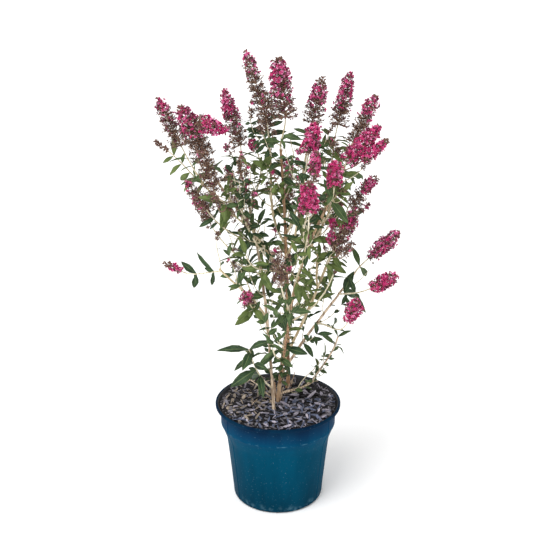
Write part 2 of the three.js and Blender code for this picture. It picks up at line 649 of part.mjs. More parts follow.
// All the pieces of one shoot, joined: its twigs, their leaves and their spikes.
function shootGeometry(members, roll) {
  const pieces = members.flatMap((twig) => {
    const sides = sideTwigsOf(twig, roll);
    const leaves = leavesOf(twig, LEAF_SPACING, roll);
    const sideLeaves = sides.flatMap((side) => leavesOf(side, SIDE_LEAF_SPACING, roll));
    const spike = twig.girth ? [spikeSolid(twig, roll)] : [];
    const tubes = [twig, ...sides].map((tube) => limbSolid(tube));
    return [...tubes, ...[...leaves, ...sideLeaves].map(leafSolid), ...spike];
  });
  const whole = wasm.Manifold.union(pieces);
  const { cutBy } = members[0];
  return geometryOf(largest(cutBy ? whole.subtract(limbSolid(cutBy, CUT_GAP)) : whole));
}

const bush = new THREE.Group();

function addPiece(name, geometry, material) {
  const mesh = new THREE.Mesh(geometry, material);
  mesh.name = name;
  bush.add(mesh);
}

addPiece("pot", potGeometry(), POT_BLUE);
addPiece("mulch", mulchGeometry(), MULCH_GREY);
limbs.forEach((limb) => addPiece(limb.name, limbGeometry(limb), limb.grounded ? OLD_WOOD : YOUNG_WOOD));

const shootNodes = Map.groupBy(twigs.values(), (twig) => twig.node);
const leafRoll = dice(SEED + 1);
shootNodes.forEach((members, node) =>
  addPiece(node, shootGeometry(members, leafRoll), members[0].girth ? FLOWERING : LEAFY),
);

export default bush;
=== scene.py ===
# %% [markdown]
# A butterfly bush in its blue nursery tub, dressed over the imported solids. The solids carry the
# true places of stems, boughs and shoots; this lesson grows bark, twigs, leaves and florets on them.
# All lengths in the tables are millimetres, as a gardener would measure them; meshes are in metres.

# %% Frame
import json
import math
import random

import bpy
import numpy as np
from mathutils import Matrix, Vector

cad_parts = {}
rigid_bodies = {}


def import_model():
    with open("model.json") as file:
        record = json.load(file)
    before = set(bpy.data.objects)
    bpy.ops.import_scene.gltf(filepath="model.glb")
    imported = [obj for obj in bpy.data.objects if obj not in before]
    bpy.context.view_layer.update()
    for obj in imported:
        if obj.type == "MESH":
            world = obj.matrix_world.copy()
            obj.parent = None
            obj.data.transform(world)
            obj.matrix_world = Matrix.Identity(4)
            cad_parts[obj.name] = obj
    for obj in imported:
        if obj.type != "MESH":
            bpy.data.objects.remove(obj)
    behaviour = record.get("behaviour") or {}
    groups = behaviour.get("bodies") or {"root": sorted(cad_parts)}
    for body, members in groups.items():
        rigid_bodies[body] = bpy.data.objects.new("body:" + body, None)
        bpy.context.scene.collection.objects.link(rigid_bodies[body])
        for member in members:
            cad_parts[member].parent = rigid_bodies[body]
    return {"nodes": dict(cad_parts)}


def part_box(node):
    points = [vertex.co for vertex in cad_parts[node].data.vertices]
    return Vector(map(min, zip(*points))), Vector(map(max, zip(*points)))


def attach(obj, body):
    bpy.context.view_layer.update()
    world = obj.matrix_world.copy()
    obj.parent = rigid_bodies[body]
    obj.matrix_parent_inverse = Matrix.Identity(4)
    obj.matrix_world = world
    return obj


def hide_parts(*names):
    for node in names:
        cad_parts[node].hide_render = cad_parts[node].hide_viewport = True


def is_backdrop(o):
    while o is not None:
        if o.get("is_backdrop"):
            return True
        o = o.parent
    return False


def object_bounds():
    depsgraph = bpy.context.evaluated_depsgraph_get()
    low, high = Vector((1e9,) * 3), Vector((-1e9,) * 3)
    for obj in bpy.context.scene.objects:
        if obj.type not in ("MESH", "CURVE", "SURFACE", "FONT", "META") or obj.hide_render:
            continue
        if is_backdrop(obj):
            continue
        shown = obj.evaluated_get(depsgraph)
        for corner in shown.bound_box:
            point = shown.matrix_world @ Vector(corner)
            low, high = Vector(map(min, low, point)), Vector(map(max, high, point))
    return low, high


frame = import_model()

CAD_LOW, CAD_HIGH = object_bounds()
MM = 0.001
UP = Vector((0, 0, 1))
print("solids:", len(frame["nodes"]), "box in mm:", [round(v / MM) for v in (CAD_HIGH - CAD_LOW)])

# %% [markdown]
# The picture was taken from a little above the crown, looking slightly down, with a longish lens.
# A camera is a plain object here: its place and tilt come from fitting the tub's rim and foot
# ellipses, so the rendered tub falls on the photographed one.

# %% Camera
def show(name, data):
    """A new object with its data, put into the scene."""
    thing = bpy.data.objects.new(name, data)
    bpy.context.scene.collection.objects.link(thing)
    return thing


camera_data = bpy.data.cameras.new("photo_camera")
camera_data.sensor_width = 36.0
camera_data.lens = 58.13
camera = show("photo_camera", camera_data)
camera.location = (-0.0033, -1.8, 1.156)
camera.rotation_euler = (math.radians(70.65), 0, 0)
bpy.context.scene.camera = camera
print("camera height in m:", camera.location.z)

# %% [markdown]
# Colours are read as ordinary screen values, but shaders work in linear light, so one small helper
# converts them. The other helpers keep the wiring of node trees short: each adds a node, feeds its
# inputs and gives the socket that comes out.

# %% Colour and wiring helpers
def paint(red, green, blue):
    """Screen colour 0 to 255 as a linear colour with full alpha."""
    def linear(value):
        value /= 255
        return value / 12.92 if value <= 0.04045 else ((value + 0.055) / 1.055) ** 2.4
    return (linear(red), linear(green), linear(blue), 1.0)


def feed(tree, socket, value):
    """Link another socket to an input, or set the input to a constant."""
    if isinstance(value, bpy.types.NodeSocket):
        tree.links.new(value, socket)
    else:
        socket.default_value = value


def add(tree, kind, settings=None, **inputs):
    """Add a node; inputs are constants or sockets, by label, or by place as i0, i1 and so on."""
    node = tree.nodes.new(kind)
    for key, value in (settings or {}).items():
        setattr(node, key, value)
    for label, value in inputs.items():
        by_place = label[0] == "i" and label[1:].isdigit()
        feed(tree, node.inputs[int(label[1:]) if by_place else label.replace("_", " ")], value)
    return node


def maths(tree, operation, *values):
    """One sum on numbers."""
    inputs = {f"i{index}": value for index, value in enumerate(values)}
    return add(tree, "ShaderNodeMath", {"operation": operation}, **inputs).outputs[0]


def mapped(tree, value, low, high, **to):
    """The range from low to high brought onto 0 to 1, or onto another range."""
    return add(tree, "ShaderNodeMapRange", Value=value, From_Min=low, From_Max=high, **to).outputs[0]


def blend(tree, mask, first, second):
    """Two colours mixed by a mask."""
    return add(tree, "ShaderNodeMix", {"data_type": "RGBA"}, i0=mask, i6=first, i7=second).outputs[2]


print("helpers: paint, feed, add, maths, mapped, blend")

# %% [markdown]
# Every finish starts as a Principled shader that reads Object coordinates, and gets its base colour
# and perhaps a fine relief. Two more helpers do that.

# %% Finish helpers
def new_finish(name, roughness):
    """An empty finish: the material, its tree, its shader and the Object coordinates."""
    finish = bpy.data.materials.new(name)
    finish.use_nodes = True
    tree = finish.node_tree
    shader = tree.nodes["Principled BSDF"]
    shader.inputs["Roughness"].default_value = roughness
    return finish, tree, shader, add(tree, "ShaderNodeTexCoord").outputs["Object"]


def coat(tree, shader, colour, height=None, strength=0.5, distance=0.001, sunk=False):
    """Set a finish's base colour, and raise or sink a relief from a height value."""
    feed(tree, shader.inputs["Base Color"], colour)
    if height is not None:
        bump = add(tree, "ShaderNodeBump", {"invert": sunk}, Strength=strength, Distance=distance,
                   Height=height)
        feed(tree, shader.inputs["Normal"], bump.outputs[0])


print("helpers: new_finish, coat")

# %% [markdown]
# Floor, light and surroundings stay plain: a wide pale floor, an even white sky for fill, and one
# soft sun high on the left in front, as in a bright yard. A sun lights the whole floor alike, so it
# stays pale to the edge of the view. These only show the plant, so they are stage.

# %% Stage
FLOOR_HALF = 60


def new_mesh(name, vertices, faces=(), edges=()):
    """A mesh from plain lists."""
    mesh = bpy.data.meshes.new(name)
    mesh.from_pydata(vertices, edges, faces)
    return mesh


bpy.context.scene.view_settings.view_transform = "Standard"
world = bpy.data.worlds.new("white_room")
world.use_nodes = True
world.node_tree.nodes["Background"].inputs["Color"].default_value = (1, 1, 1, 1)
world.node_tree.nodes["Background"].inputs["Strength"].default_value = 0.95
bpy.context.scene.world = world

corners = [(x * FLOOR_HALF, y * FLOOR_HALF, 0) for x, y in ((-1, -1), (1, -1), (1, 1), (-1, 1))]
floor_mesh = new_mesh("floor", corners, [(0, 1, 2, 3)])
floor = show("floor", floor_mesh)
floor_paint, tree, shader, where = new_finish("floor_paint", 0.9)
cloud = add(tree, "ShaderNodeTexNoise", Vector=where, Scale=3.0)
coat(tree, shader, blend(tree, cloud.outputs[0], paint(248, 248, 248), paint(250, 250, 250)))
floor_mesh.materials.append(floor_paint)
floor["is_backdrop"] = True

sun_data = bpy.data.lights.new("soft_sun", "SUN")
sun_data.energy = 2.0
sun_data.angle = math.radians(38)
sun = show("soft_sun", sun_data)
sun.rotation_euler = Vector((0.42, 0.5, -1.0)).to_track_quat("-Z", "Y").to_euler()
print("stage set, lamps:", len(bpy.data.lights))

# %% [markdown]
# Several finishes share the same few effects, so each effect is a shader node group made once.
# Patches mixes two tones by cloudy noise; the Stretch input draws the clouds out into grain.

# %% Shared effect: patches
NUMBER, COLOUR, ARROW = "NodeSocketFloat", "NodeSocketColor", "NodeSocketVector"
EFFECT = "ShaderNodeTree"


def open_tree(kind, name, inputs, outputs):
    """A node tree with named sockets; gives the tree, what comes in and what goes out."""
    tree = bpy.data.node_groups.new(name, kind)
    for side, rows in (("INPUT", inputs), ("OUTPUT", outputs)):
        for label, socket_kind, *start in rows:
            socket = tree.interface.new_socket(label, in_out=side, socket_type=socket_kind)
            if start:
                socket.default_value = start[0]
    return tree, tree.nodes.new("NodeGroupInput").outputs, tree.nodes.new("NodeGroupOutput").inputs


def place(tree, group, **inputs):
    """Put a shared effect into a finish with its own values."""
    return add(tree, "ShaderNodeGroup", {"node_tree": group}, **inputs).outputs


patches, entry, leave = open_tree(
    EFFECT, "patches",
    [("Vector", ARROW), ("Stretch", ARROW, (1, 1, 1)), ("Scale", NUMBER, 40.0), ("Detail", NUMBER, 4.0),
     ("Low", NUMBER, 0.38), ("High", NUMBER, 0.62), ("First", COLOUR), ("Second", COLOUR)],
    [("Colour", COLOUR), ("Mask", NUMBER)])
drawn_out = add(patches, "ShaderNodeVectorMath", {"operation": "MULTIPLY"}, i0=entry["Vector"],
                i1=entry["Stretch"])
cloud = add(patches, "ShaderNodeTexNoise", Vector=drawn_out.outputs[0], Scale=entry["Scale"],
            Detail=entry["Detail"])
edge = mapped(patches, cloud.outputs[0], entry["Low"], entry["High"])
feed(patches, leave["Colour"], blend(patches, edge, entry["First"], entry["Second"]))
feed(patches, leave["Mask"], edge)
print("effect:", patches.name)

# %% [markdown]
# Moulded plastic wears along an edge at one height: a pale broken line under the collar and scuffs
# at the foot. This effect makes a soft band at a chosen height and breaks it up with noise.

# %% Shared effect: worn band
worn_band, entry, leave = open_tree(
    EFFECT, "worn_band",
    [("Vector", ARROW), ("Level", NUMBER, 0.1), ("Width", NUMBER, 0.003), ("Scale", NUMBER, 60.0),
     ("Keep", NUMBER, 0.55)],
    [("Mask", NUMBER)])
height = add(worn_band, "ShaderNodeSeparateXYZ", Vector=entry["Vector"]).outputs[2]
away = maths(worn_band, "ABSOLUTE", maths(worn_band, "SUBTRACT", height, entry["Level"]))
band = mapped(worn_band, away, entry["Width"], 0.0)
noise = add(worn_band, "ShaderNodeTexNoise", Vector=entry["Vector"], Scale=entry["Scale"], Detail=5.0)
broken = mapped(worn_band, noise.outputs[0], entry["Keep"], 0.75)
feed(worn_band, leave["Mask"], maths(worn_band, "MULTIPLY", band, broken))
print("effect:", worn_band.name)

# %% [markdown]
# A leaf shows a pale midrib and faint side veins; a pale margin beside them is a painted highlight,
# the light rim along its edge. The leaf mesh carries its own UV map, across and along, so all three can
# be drawn from it: a thin line at the middle, slanting lines beside it, a pale band at the edge.

# %% Shared effect: veins and rim highlight
veins_and_rim_highlight, entry, leave = open_tree(
    EFFECT, "veins_and_rim_highlight", [("Vector", ARROW), ("Rib", NUMBER, 0.07), ("Count", NUMBER, 9.0)],
    [("Mask", NUMBER)])
split = add(veins_and_rim_highlight, "ShaderNodeSeparateXYZ", Vector=entry["Vector"]).outputs
side = maths(veins_and_rim_highlight, "ABSOLUTE", maths(veins_and_rim_highlight, "SUBTRACT", split[0], 0.5))
rib = mapped(veins_and_rim_highlight, side, entry["Rib"], 0.0)
slant = maths(veins_and_rim_highlight, "MULTIPLY", maths(veins_and_rim_highlight, "MULTIPLY_ADD", side, -0.45, split[1]), entry["Count"])
thin = mapped(veins_and_rim_highlight, maths(veins_and_rim_highlight, "PINGPONG", slant, 0.5), 0.1, 0.0, To_Max=0.35)
# The pale band at the edge is a painted highlight, the light rim along a leaf's edge.
rim_highlight = mapped(veins_and_rim_highlight, side, 0.36, 0.5, To_Max=0.8)
veins_and_rim = maths(veins_and_rim_highlight, "MAXIMUM", rib, maths(veins_and_rim_highlight, "MAXIMUM", thin, rim_highlight))
feed(veins_and_rim_highlight, leave["Mask"], veins_and_rim)
print("effect:", veins_and_rim_highlight.name)

# %% [markdown]
# The tub is blow-moulded from recycled blue plastic: teal-blue with pale specks, a worn line under the
# collar and scuffs at the foot. Its colour by height holds painted shade: darker towards the foot,
# navy on the collar and nearly black at the lip. The rim's top and the inside get a near-black finish,
# also painted shade. Everything follows Object coordinates, so the bands sit at true heights.

# %% Tub finishes
TUB_HEIGHT = 0.23
TUB_TONES_AND_SHADE = ((0.25, (2, 55, 76)), (0.6, (2, 65, 89)), (0.72, (2, 70, 97)), (0.79, (4, 66, 97)),
             (0.84, (10, 56, 89)), (0.91, (14, 44, 75)), (0.96, (12, 36, 64)))

tub_blue, tree, shader, where = new_finish("tub_blue", 0.4)
shader.inputs["Specular IOR Level"].default_value = 0.012
height = add(tree, "ShaderNodeSeparateXYZ", Vector=where).outputs[2]
# Colour by height with painted shade: darker towards the foot, navy on the collar, nearly black at the lip.
ramp = add(tree, "ShaderNodeValToRGB", Fac=mapped(tree, height, 0.0, TUB_HEIGHT))
ramp.color_ramp.elements[0].color = paint(4, 48, 66)
ramp.color_ramp.elements[1].color = paint(6, 20, 42)
for position, colour in TUB_TONES_AND_SHADE:
    ramp.color_ramp.elements.new(position).color = paint(*colour)
cloudy = place(tree, patches, Vector=where, Stretch=(1, 1, 0.25), Scale=26.0, Low=0.35, High=0.7,
               First=paint(0, 36, 56), Second=paint(6, 84, 114))
base = blend(tree, 0.22, ramp.outputs[0], cloudy["Colour"])
specks = place(tree, patches, Vector=where, Scale=340.0, Detail=1.0, Low=0.7, High=0.76,
               First=paint(0, 0, 0), Second=paint(255, 255, 255))
base = blend(tree, maths(tree, "MULTIPLY", specks["Mask"], 0.28), base, paint(110, 146, 160))
collar_wear = place(tree, worn_band, Vector=where, Level=0.1828, Width=0.0022, Scale=95.0, Keep=0.47)
base = blend(tree, collar_wear["Mask"], base, paint(70, 116, 140))
foot_wear = place(tree, worn_band, Vector=where, Level=0.004, Width=0.02, Scale=60.0, Keep=0.52)
base = blend(tree, foot_wear["Mask"], base, paint(84, 122, 138))
dull = mapped(tree, cloudy["Mask"], 0.0, 1.0, To_Min=0.4, To_Max=0.58)
feed(tree, shader.inputs["Roughness"], dull)
skin = add(tree, "ShaderNodeTexNoise", Vector=where, Scale=260.0, Detail=3.0)
coat(tree, shader, base, skin.outputs[0], 0.12, 0.001)

# The rim's top and the inside lie in shadow: this near-black finish is painted shade.
tub_inside_shade, tree, shader, where = new_finish("tub_inside_shade", 0.6)
inside_shade_patches = place(tree, patches, Vector=where, Stretch=(1, 1, 0.4), Scale=45.0, First=paint(2, 4, 8),
              Second=paint(9, 13, 24))
coat(tree, shader, inside_shade_patches["Colour"])
print("finishes:", tub_blue.name, tub_inside_shade.name)

# %% [markdown]
# The tub itself is a turned shape with three mould seams. A lathe profile spun in NumPy gives full
# control: round corners come from short arcs, and the seams are extra columns pushed out a little.

# %% Tub profile
def arc(centre, radius, start, end, count):
    """Points of a round corner in the profile plane, angles in degrees."""
    turns = np.radians(np.linspace(start, end, count))
    return [(centre[0] + radius * math.cos(a), centre[1] + radius * math.sin(a)) for a in turns]


outer_side = [(0.0, 0.0), (60.0, 0.0), (92.0, 0.0)]
outer_side += arc((93.5, 8.0), 8.0, -90, -6, 7)
outer_side += [(102.6, 22.0), (104.8, 45.0), (107.3, 70.0), (109.8, 95.0), (112.5, 120.0),
               (115.0, 142.0), (115.8, 148.0), (116.9, 152.5), (119.0, 158.0), (121.4, 165.0),
               (123.9, 172.0), (126.6, 178.5), (128.2, 181.2), (128.6, 182.6), (128.4, 184.5),
               (128.7, 196.0), (129.3, 208.0), (129.8, 219.0), (130.6, 221.2)]
outer_side += arc((137.4, 224.4), 2.6, -80, 0, 4)
outer_side += arc((137.6, 227.6), 2.4, 10, 90, 5)
inner_side = [(135.6, 229.6), (134.2, 228.4), (132.6, 225.8), (130.0, 221.0), (127.6, 216.0),
              (126.6, 196.0), (126.0, 184.0), (113.6, 150.0), (99.5, 10.0), (96.0, 4.0), (0.0, 4.0)]
INNER_FROM = len(outer_side)

SEAMS = (-150.0, -30.0, 90.0)
SEAM_OUT, SEAM_HALF = 0.9, 1.2
SEAM_LOW, SEAM_HIGH = 4, 220


def off_seam(bearing, seam):
    """Degrees between a bearing and a seam, either way round."""
    return abs((bearing - seam + 180) % 360 - 180)


def seam_rise(turn, z):
    """How far the mould seam stands out at a bearing and height, in millimetres."""
    nearest = min(off_seam(math.degrees(turn), seam) for seam in SEAMS)
    return SEAM_OUT * max(0.0, 1 - (nearest / SEAM_HALF) ** 2) if SEAM_LOW < z < SEAM_HIGH else 0.0


columns = list(np.arange(0, 360, 3.0))
for seam in SEAMS:
    columns = [c for c in columns if off_seam(c, seam) > 2.0]
    columns += [(seam + offset) % 360 for offset in (-1.6, -0.9, -0.45, 0.0, 0.45, 0.9, 1.6)]
columns = np.radians(np.sort(np.array(columns)))
print("profile points:", INNER_FROM + len(inner_side), "columns:", len(columns))

# %% [markdown]
# The lathe joins the columns row by row. Each finished mesh then becomes a piece: it rides on the
# body, and the solids it stands for are hidden.

# %% Tub
def smooth(mesh):
    """Shade every face smooth."""
    mesh.polygons.foreach_set("use_smooth", [True] * len(mesh.polygons))


def lathe(name, points, turns, rise=None):
    """Spin a profile about the upright axis; ends on the axis close to a single vertex."""
    vertices, rows = [], []
    for index, (radius, z) in enumerate(points):
        if radius == 0:
            rows.append([len(vertices)] * len(turns))
            vertices.append((0, 0, z * MM))
            continue
        rows.append(list(range(len(vertices), len(vertices) + len(turns))))
        for turn in turns:
            reach = radius + (rise(turn, z) if rise and index < INNER_FROM else 0)
            vertices.append((reach * math.cos(turn) * MM, reach * math.sin(turn) * MM, z * MM))
    faces, bands = [], []
    for index in range(len(points) - 1):
        low, high = rows[index], rows[index + 1]
        for k in range(len(turns)):
            n = (k + 1) % len(turns)
            corners = [low[k], low[n], high[n], high[k]]
            faces.append([c for i, c in enumerate(corners) if c not in corners[:i]])
            bands.append(index)
    mesh = new_mesh(name, vertices, faces)
    smooth(mesh)
    return mesh, bands


def stand_piece(name, mesh, slot, *nodes):
    """Make a mesh a piece of the object: it rides on the body and stands for its solids."""
    piece = show(name, mesh)
    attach(piece, "root")
    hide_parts(*nodes)
    mesh.calc_loop_triangles()
    print(f"{name}: {len(mesh.loop_triangles)} triangles")


tub_mesh, tub_bands = lathe("tub", np.array(outer_side + inner_side), columns, seam_rise)
tub_mesh.materials.append(tub_blue)
tub_mesh.materials.append(tub_inside_shade)
tub_mesh.polygons.foreach_set("material_index", [int(b >= INNER_FROM) for b in tub_bands])
stand_piece("tub", tub_mesh, "pot", "pot")

# %% [markdown]
# A Geometry Nodes tree is a small factory: named inputs, a few steps, one result. These helpers open
# and close a tree and run it on a source mesh. Only a plain mesh is kept, because live modifiers and
# instances would not survive the export.

# %% Geometry Nodes helpers
SHAPE, MODELS = "NodeSocketGeometry", "NodeSocketCollection"
FINISH, COUNT = "NodeSocketMaterial", "NodeSocketInt"
HELPERS = ("along", "round", "thick", "turn", "size", "kind", "below")


def new_factory(name, inputs):
    """A tree from one geometry to another."""
    return open_tree("GeometryNodeTree", name, [("Geometry", SHAPE)] + inputs, [("Geometry", SHAPE)])


def named(tree, name, kind):
    """Read an attribute that the source mesh carries."""
    return add(tree, "GeometryNodeInputNamedAttribute", {"data_type": kind}, Name=name).outputs[0]


def close_factory(tree, leave, geometry, finish, lower=None):
    """End a tree in real geometry with its finish, and another on the faces marked below."""
    solid = add(tree, "GeometryNodeRealizeInstances", Geometry=geometry)
    done = add(tree, "GeometryNodeSetMaterial", Geometry=solid.outputs[0], Material=finish)
    if lower is not None:
        done = add(tree, "GeometryNodeSetMaterial", Geometry=done.outputs[0],
                   Selection=named(tree, "below", "BOOLEAN"), Material=lower)
    feed(tree, leave[0], done.outputs[0])


def run_factory(name, source_mesh, tree, **values):
    """Run a tree on a mesh with its inputs set by identifier; give back a plain mesh."""
    source = show(name + "_source", source_mesh)
    modifier = source.modifiers.new(name, "NODES")
    modifier.node_group = tree
    sockets = {s.name: s.identifier for s in tree.interface.items_tree if s.in_out == "INPUT"}
    for label, value in values.items():
        modifier[sockets[label]] = value
    depsgraph = bpy.context.evaluated_depsgraph_get()
    mesh = bpy.data.meshes.new_from_object(source.evaluated_get(depsgraph))
    bpy.data.objects.remove(source)
    bpy.data.meshes.remove(source_mesh)
    mesh.name = name
    for label in HELPERS:
        if label in mesh.attributes:
            mesh.attributes.remove(mesh.attributes[label])
    return mesh


print("helpers: new_factory, named, close_factory, run_factory")

# %% [markdown]
# The tub is topped with bark mulch: splinters 8 to 35 mm long lying in all directions with dark
# gaps between. The bed below is a simple uneven disc, coloured near black as painted shade; only it
# shows in the gaps.

# %% Mulch bed
BED_FLOOR, BED_TOP, BED_EDGE = 196.0, 221.0, 129.6
MULCH_LOW, MULCH_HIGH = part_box("mulch")
BED_RADIUS = (MULCH_HIGH.x - MULCH_LOW.x) / 2 / MM
bed_dice = random.Random(7)

# The bed's near-black colour is painted shade for the gaps between the chips.
bed_shade_finish, tree, shader, where = new_finish("mulch_gap_shade", 0.95)
gap_shade = place(tree, patches, Vector=where, Scale=120.0, First=paint(5, 4, 5), Second=paint(24, 21, 22))
coat(tree, shader, gap_shade["Colour"], gap_shade["Mask"], 0.6, 0.003)

bed_rings = [BED_EDGE * f for f in (1.0, 0.9, 0.78, 0.64, 0.5, 0.36, 0.22, 0.1)]
bed_profile = [(0.0, BED_FLOOR), (BED_RADIUS - 1.5, BED_FLOOR)]
bed_profile += [(r, 0.0) for r in bed_rings] + [(0.0, BED_TOP)]
bed_mesh, _ = lathe("mulch_bed", bed_profile, np.radians(np.arange(0, 360, 6.0)))
for vertex in bed_mesh.vertices:
    reach = math.hypot(vertex.co.x, vertex.co.y) / MM
    if vertex.co.z == 0:
        vertex.co.z = (BED_TOP + 3 * (reach / BED_EDGE) ** 2 + bed_dice.uniform(-1.5, 1)) * MM
bed_mesh.materials.append(bed_shade_finish)
stand_piece("mulch_bed", bed_mesh, "mulch", "mulch")

# %% [markdown]
# A chip is a split prism of ten faces, a plate or a splinter. Its UV runs along the fibre, so the
# grain in its finish does too. Fourteen of them are models for all the mulch.

# %% Chip models
chip_dice = random.Random(11)
CHIP_KINDS = 14
CHIP_OUTLINE = ((-0.5, -0.1), (-0.38, -0.42), (0.1, -0.5), (0.42, -0.36), (0.5, 0.05), (0.36, 0.44),
                (-0.05, 0.5), (-0.4, 0.34))


def set_uv(mesh, name, spots):
    """Give a mesh its own UV map, one spot for each vertex."""
    layer = mesh.uv_layers.new(name=name)
    for loop in mesh.loops:
        layer.data[loop.index].uv = spots[loop.vertex_index]


def split_chip(index):
    """One chip lying along x: uneven outline, thin and slightly bowed."""
    wide = chip_dice.uniform(4.2, 8.4) if index % 2 else chip_dice.uniform(2.0, 4.0)
    long, thick = chip_dice.uniform(12, 29), chip_dice.uniform(1, 2.6)
    vertices, spots = [], []
    for level in (-0.5, 0.5):
        for x, y in CHIP_OUTLINE:
            x += chip_dice.uniform(-0.05, 0.05)
            y += chip_dice.uniform(-0.12, 0.12)
            bow = 0.6 * (0.25 - x * x) * thick
            vertices.append((x * long * MM, y * wide * MM, (level * thick + bow) * MM))
            spots.append((x, y * wide / long))
    count = len(CHIP_OUTLINE)
    faces = [list(range(count))[::-1], list(range(count, 2 * count))]
    faces += [[k, (k + 1) % count, (k + 1) % count + count, k + count] for k in range(count)]
    mesh = new_mesh(f"chip_{index}", vertices, faces)
    set_uv(mesh, "fibre", spots)
    return mesh


def hide_shapes(name, meshes):
    """Keep model shapes in a collection of their own, outside the scene."""
    shapes = bpy.data.collections.new(name)
    for index, mesh in enumerate(meshes):
        shapes.objects.link(bpy.data.objects.new(f"{name}_{index}", mesh))
    return shapes


def drop_shapes(shapes):
    """Clear models away after use."""
    for shape in list(shapes.objects):
        bpy.data.objects.remove(shape)
    bpy.data.collections.remove(shapes)


chips = hide_shapes("chip", [split_chip(k) for k in range(CHIP_KINDS)])

# %% [markdown]
# A tree scatters the chips: Poisson points keep them from piling up in one place, and each chip gets
# a random turn, tilt and size.

# %% Chip scatter tree
HALF_TURN = 3.1416
scatter, entry, leave = new_factory(
    "chip_scatter",
    [("Chips", MODELS), ("Spacing", NUMBER, 0.012), ("Density", NUMBER, 4500.0), ("Tilt", NUMBER, 0.4),
     ("Smallest", NUMBER, 0.7), ("Largest", NUMBER, 1.2), ("Seed", COUNT, 1), ("Finish", FINISH)])
spread = add(scatter, "GeometryNodeDistributePointsOnFaces", {"distribute_method": "POISSON"},
             Mesh=entry["Geometry"], Distance_Min=entry["Spacing"], Density_Max=entry["Density"],
             Seed=entry["Seed"])
choice = add(scatter, "GeometryNodeCollectionInfo", Collection=entry["Chips"], Separate_Children=True,
             Reset_Children=True)
lean = add(scatter, "ShaderNodeCombineXYZ", X=entry["Tilt"], Y=entry["Tilt"], Z=HALF_TURN)
back = add(scatter, "ShaderNodeVectorMath", {"operation": "SCALE"}, i0=lean.outputs[0], Scale=-1.0)
turn = add(scatter, "FunctionNodeRandomValue", {"data_type": "FLOAT_VECTOR"}, i0=back.outputs[0],
           i1=lean.outputs[0], Seed=entry["Seed"])
size = add(scatter, "FunctionNodeRandomValue", {"data_type": "FLOAT"}, i2=entry["Smallest"],
           i3=entry["Largest"], Seed=entry["Seed"])
turned = add(scatter, "FunctionNodeEulerToRotation", Euler=turn.outputs[0])
lay = add(scatter, "GeometryNodeInstanceOnPoints", Points=spread.outputs["Points"],
          Instance=choice.outputs[0], Pick_Instance=True, Rotation=turned.outputs[0],
          Scale=size.outputs[1])
close_factory(scatter, leave, lay.outputs[0], entry["Finish"])
print("tree:", scatter.name)

# %% [markdown]
# Dark and grey chips cover the whole bed, tan, slate and pale ones a sector each, because one side of
# the mulch is browner than the other. Small crumbs fill the rim at the wall, and a chip that is too
# long for its place ends against the tub.

# %% Bark chips
FIELD_STEPS, CHIP_DENSITY, CHIP_TILT = 25, 20000.0, 0.55
FULL, CRUMB = (8, BED_EDGE - 6, 0.7, 1.2), (119, BED_EDGE, 0.3, 0.5)
CHIP_TONES = (("chips_dark", (9, 8, 10), (42, 39, 45), 224.0, -270, 90, 0.0075, 3, FULL),
              ("chips_grey", (34, 32, 37), (150, 146, 156), 225.5, -270, 90, 0.0135, 5, FULL),
              ("chips_tan", (70, 62, 56), (184, 168, 150), 226.0, -290, -120, 0.0145, 13, FULL),
              ("chips_slate", (44, 50, 68), (118, 126, 154), 226.0, -150, 15, 0.0145, 8, FULL),
              ("chips_pale", (112, 108, 126), (204, 196, 208), 227.0, -170, 60, 0.021, 21, FULL),
              ("chips_edge", (50, 48, 54), (150, 144, 152), 226.5, -270, 90, 0.007, 17, CRUMB))


def chip_finish(name, dark, light):
    """Streaks along the fibre under a cloudy change of tone."""
    finish, tree, shader, where = new_finish(name, 0.85)
    fibre = add(tree, "ShaderNodeUVMap", {"uv_map": "fibre"}).outputs[0]
    tones = {"First": paint(*dark), "Second": paint(*light)}
    streaks = place(tree, patches, Vector=fibre, Stretch=(2.5, 22, 1), Scale=2.0, **tones)
    tone = place(tree, patches, Vector=where, Scale=35.0, **tones)
    coat(tree, shader, blend(tree, 0.45, streaks["Colour"], tone["Colour"]), streaks["Mask"], 0.5, 0.0008)
    return finish


def scatter_field(rise, inner, outer, from_turn, to_turn):
    """The patch of the bed that one tone of chips is scattered on."""
    turns = np.radians(np.linspace(from_turn, to_turn, FIELD_STEPS))
    points = [(r * math.cos(a) * MM, r * math.sin(a) * MM, rise * MM)
              for r in (inner, outer) for a in turns]
    faces = [[k, k + FIELD_STEPS, k + FIELD_STEPS + 1, k + 1] for k in range(FIELD_STEPS - 1)]
    return new_mesh("field", points, faces)


def press_in(mesh):
    """Chips that meet the tub's wall end against it instead of passing through."""
    wall = inner_side[4::-1]
    for vertex in mesh.vertices:
        reach = math.hypot(vertex.co.x, vertex.co.y) / MM
        room = np.interp(vertex.co.z / MM, [z for r, z in wall], [r for r, z in wall])
        if reach > room:
            vertex.co.x *= room / reach
            vertex.co.y *= room / reach
    return mesh


for name, dark, light, rise, first, last, spacing, seed, (inner, outer, small, large) in CHIP_TONES:
    mesh = run_factory(name, scatter_field(rise, inner, outer, first, last), scatter, Chips=chips,
                       Spacing=spacing, Density=CHIP_DENSITY, Tilt=CHIP_TILT, Seed=seed,
                       Smallest=small, Largest=large, Finish=chip_finish(name, dark, light))
    stand_piece(name, press_in(mesh), "mulch", "mulch")
drop_shapes(chips)

# %% [markdown]
# The plant's plan has the source's places: stems from the mulch, boughs on stems and on each other,
# shoots on both. A stem's row has its foot, its tip and the radius at both ends. A bough's row says
# what it grows on, how far along, where it ends, its radii and how far it splays.

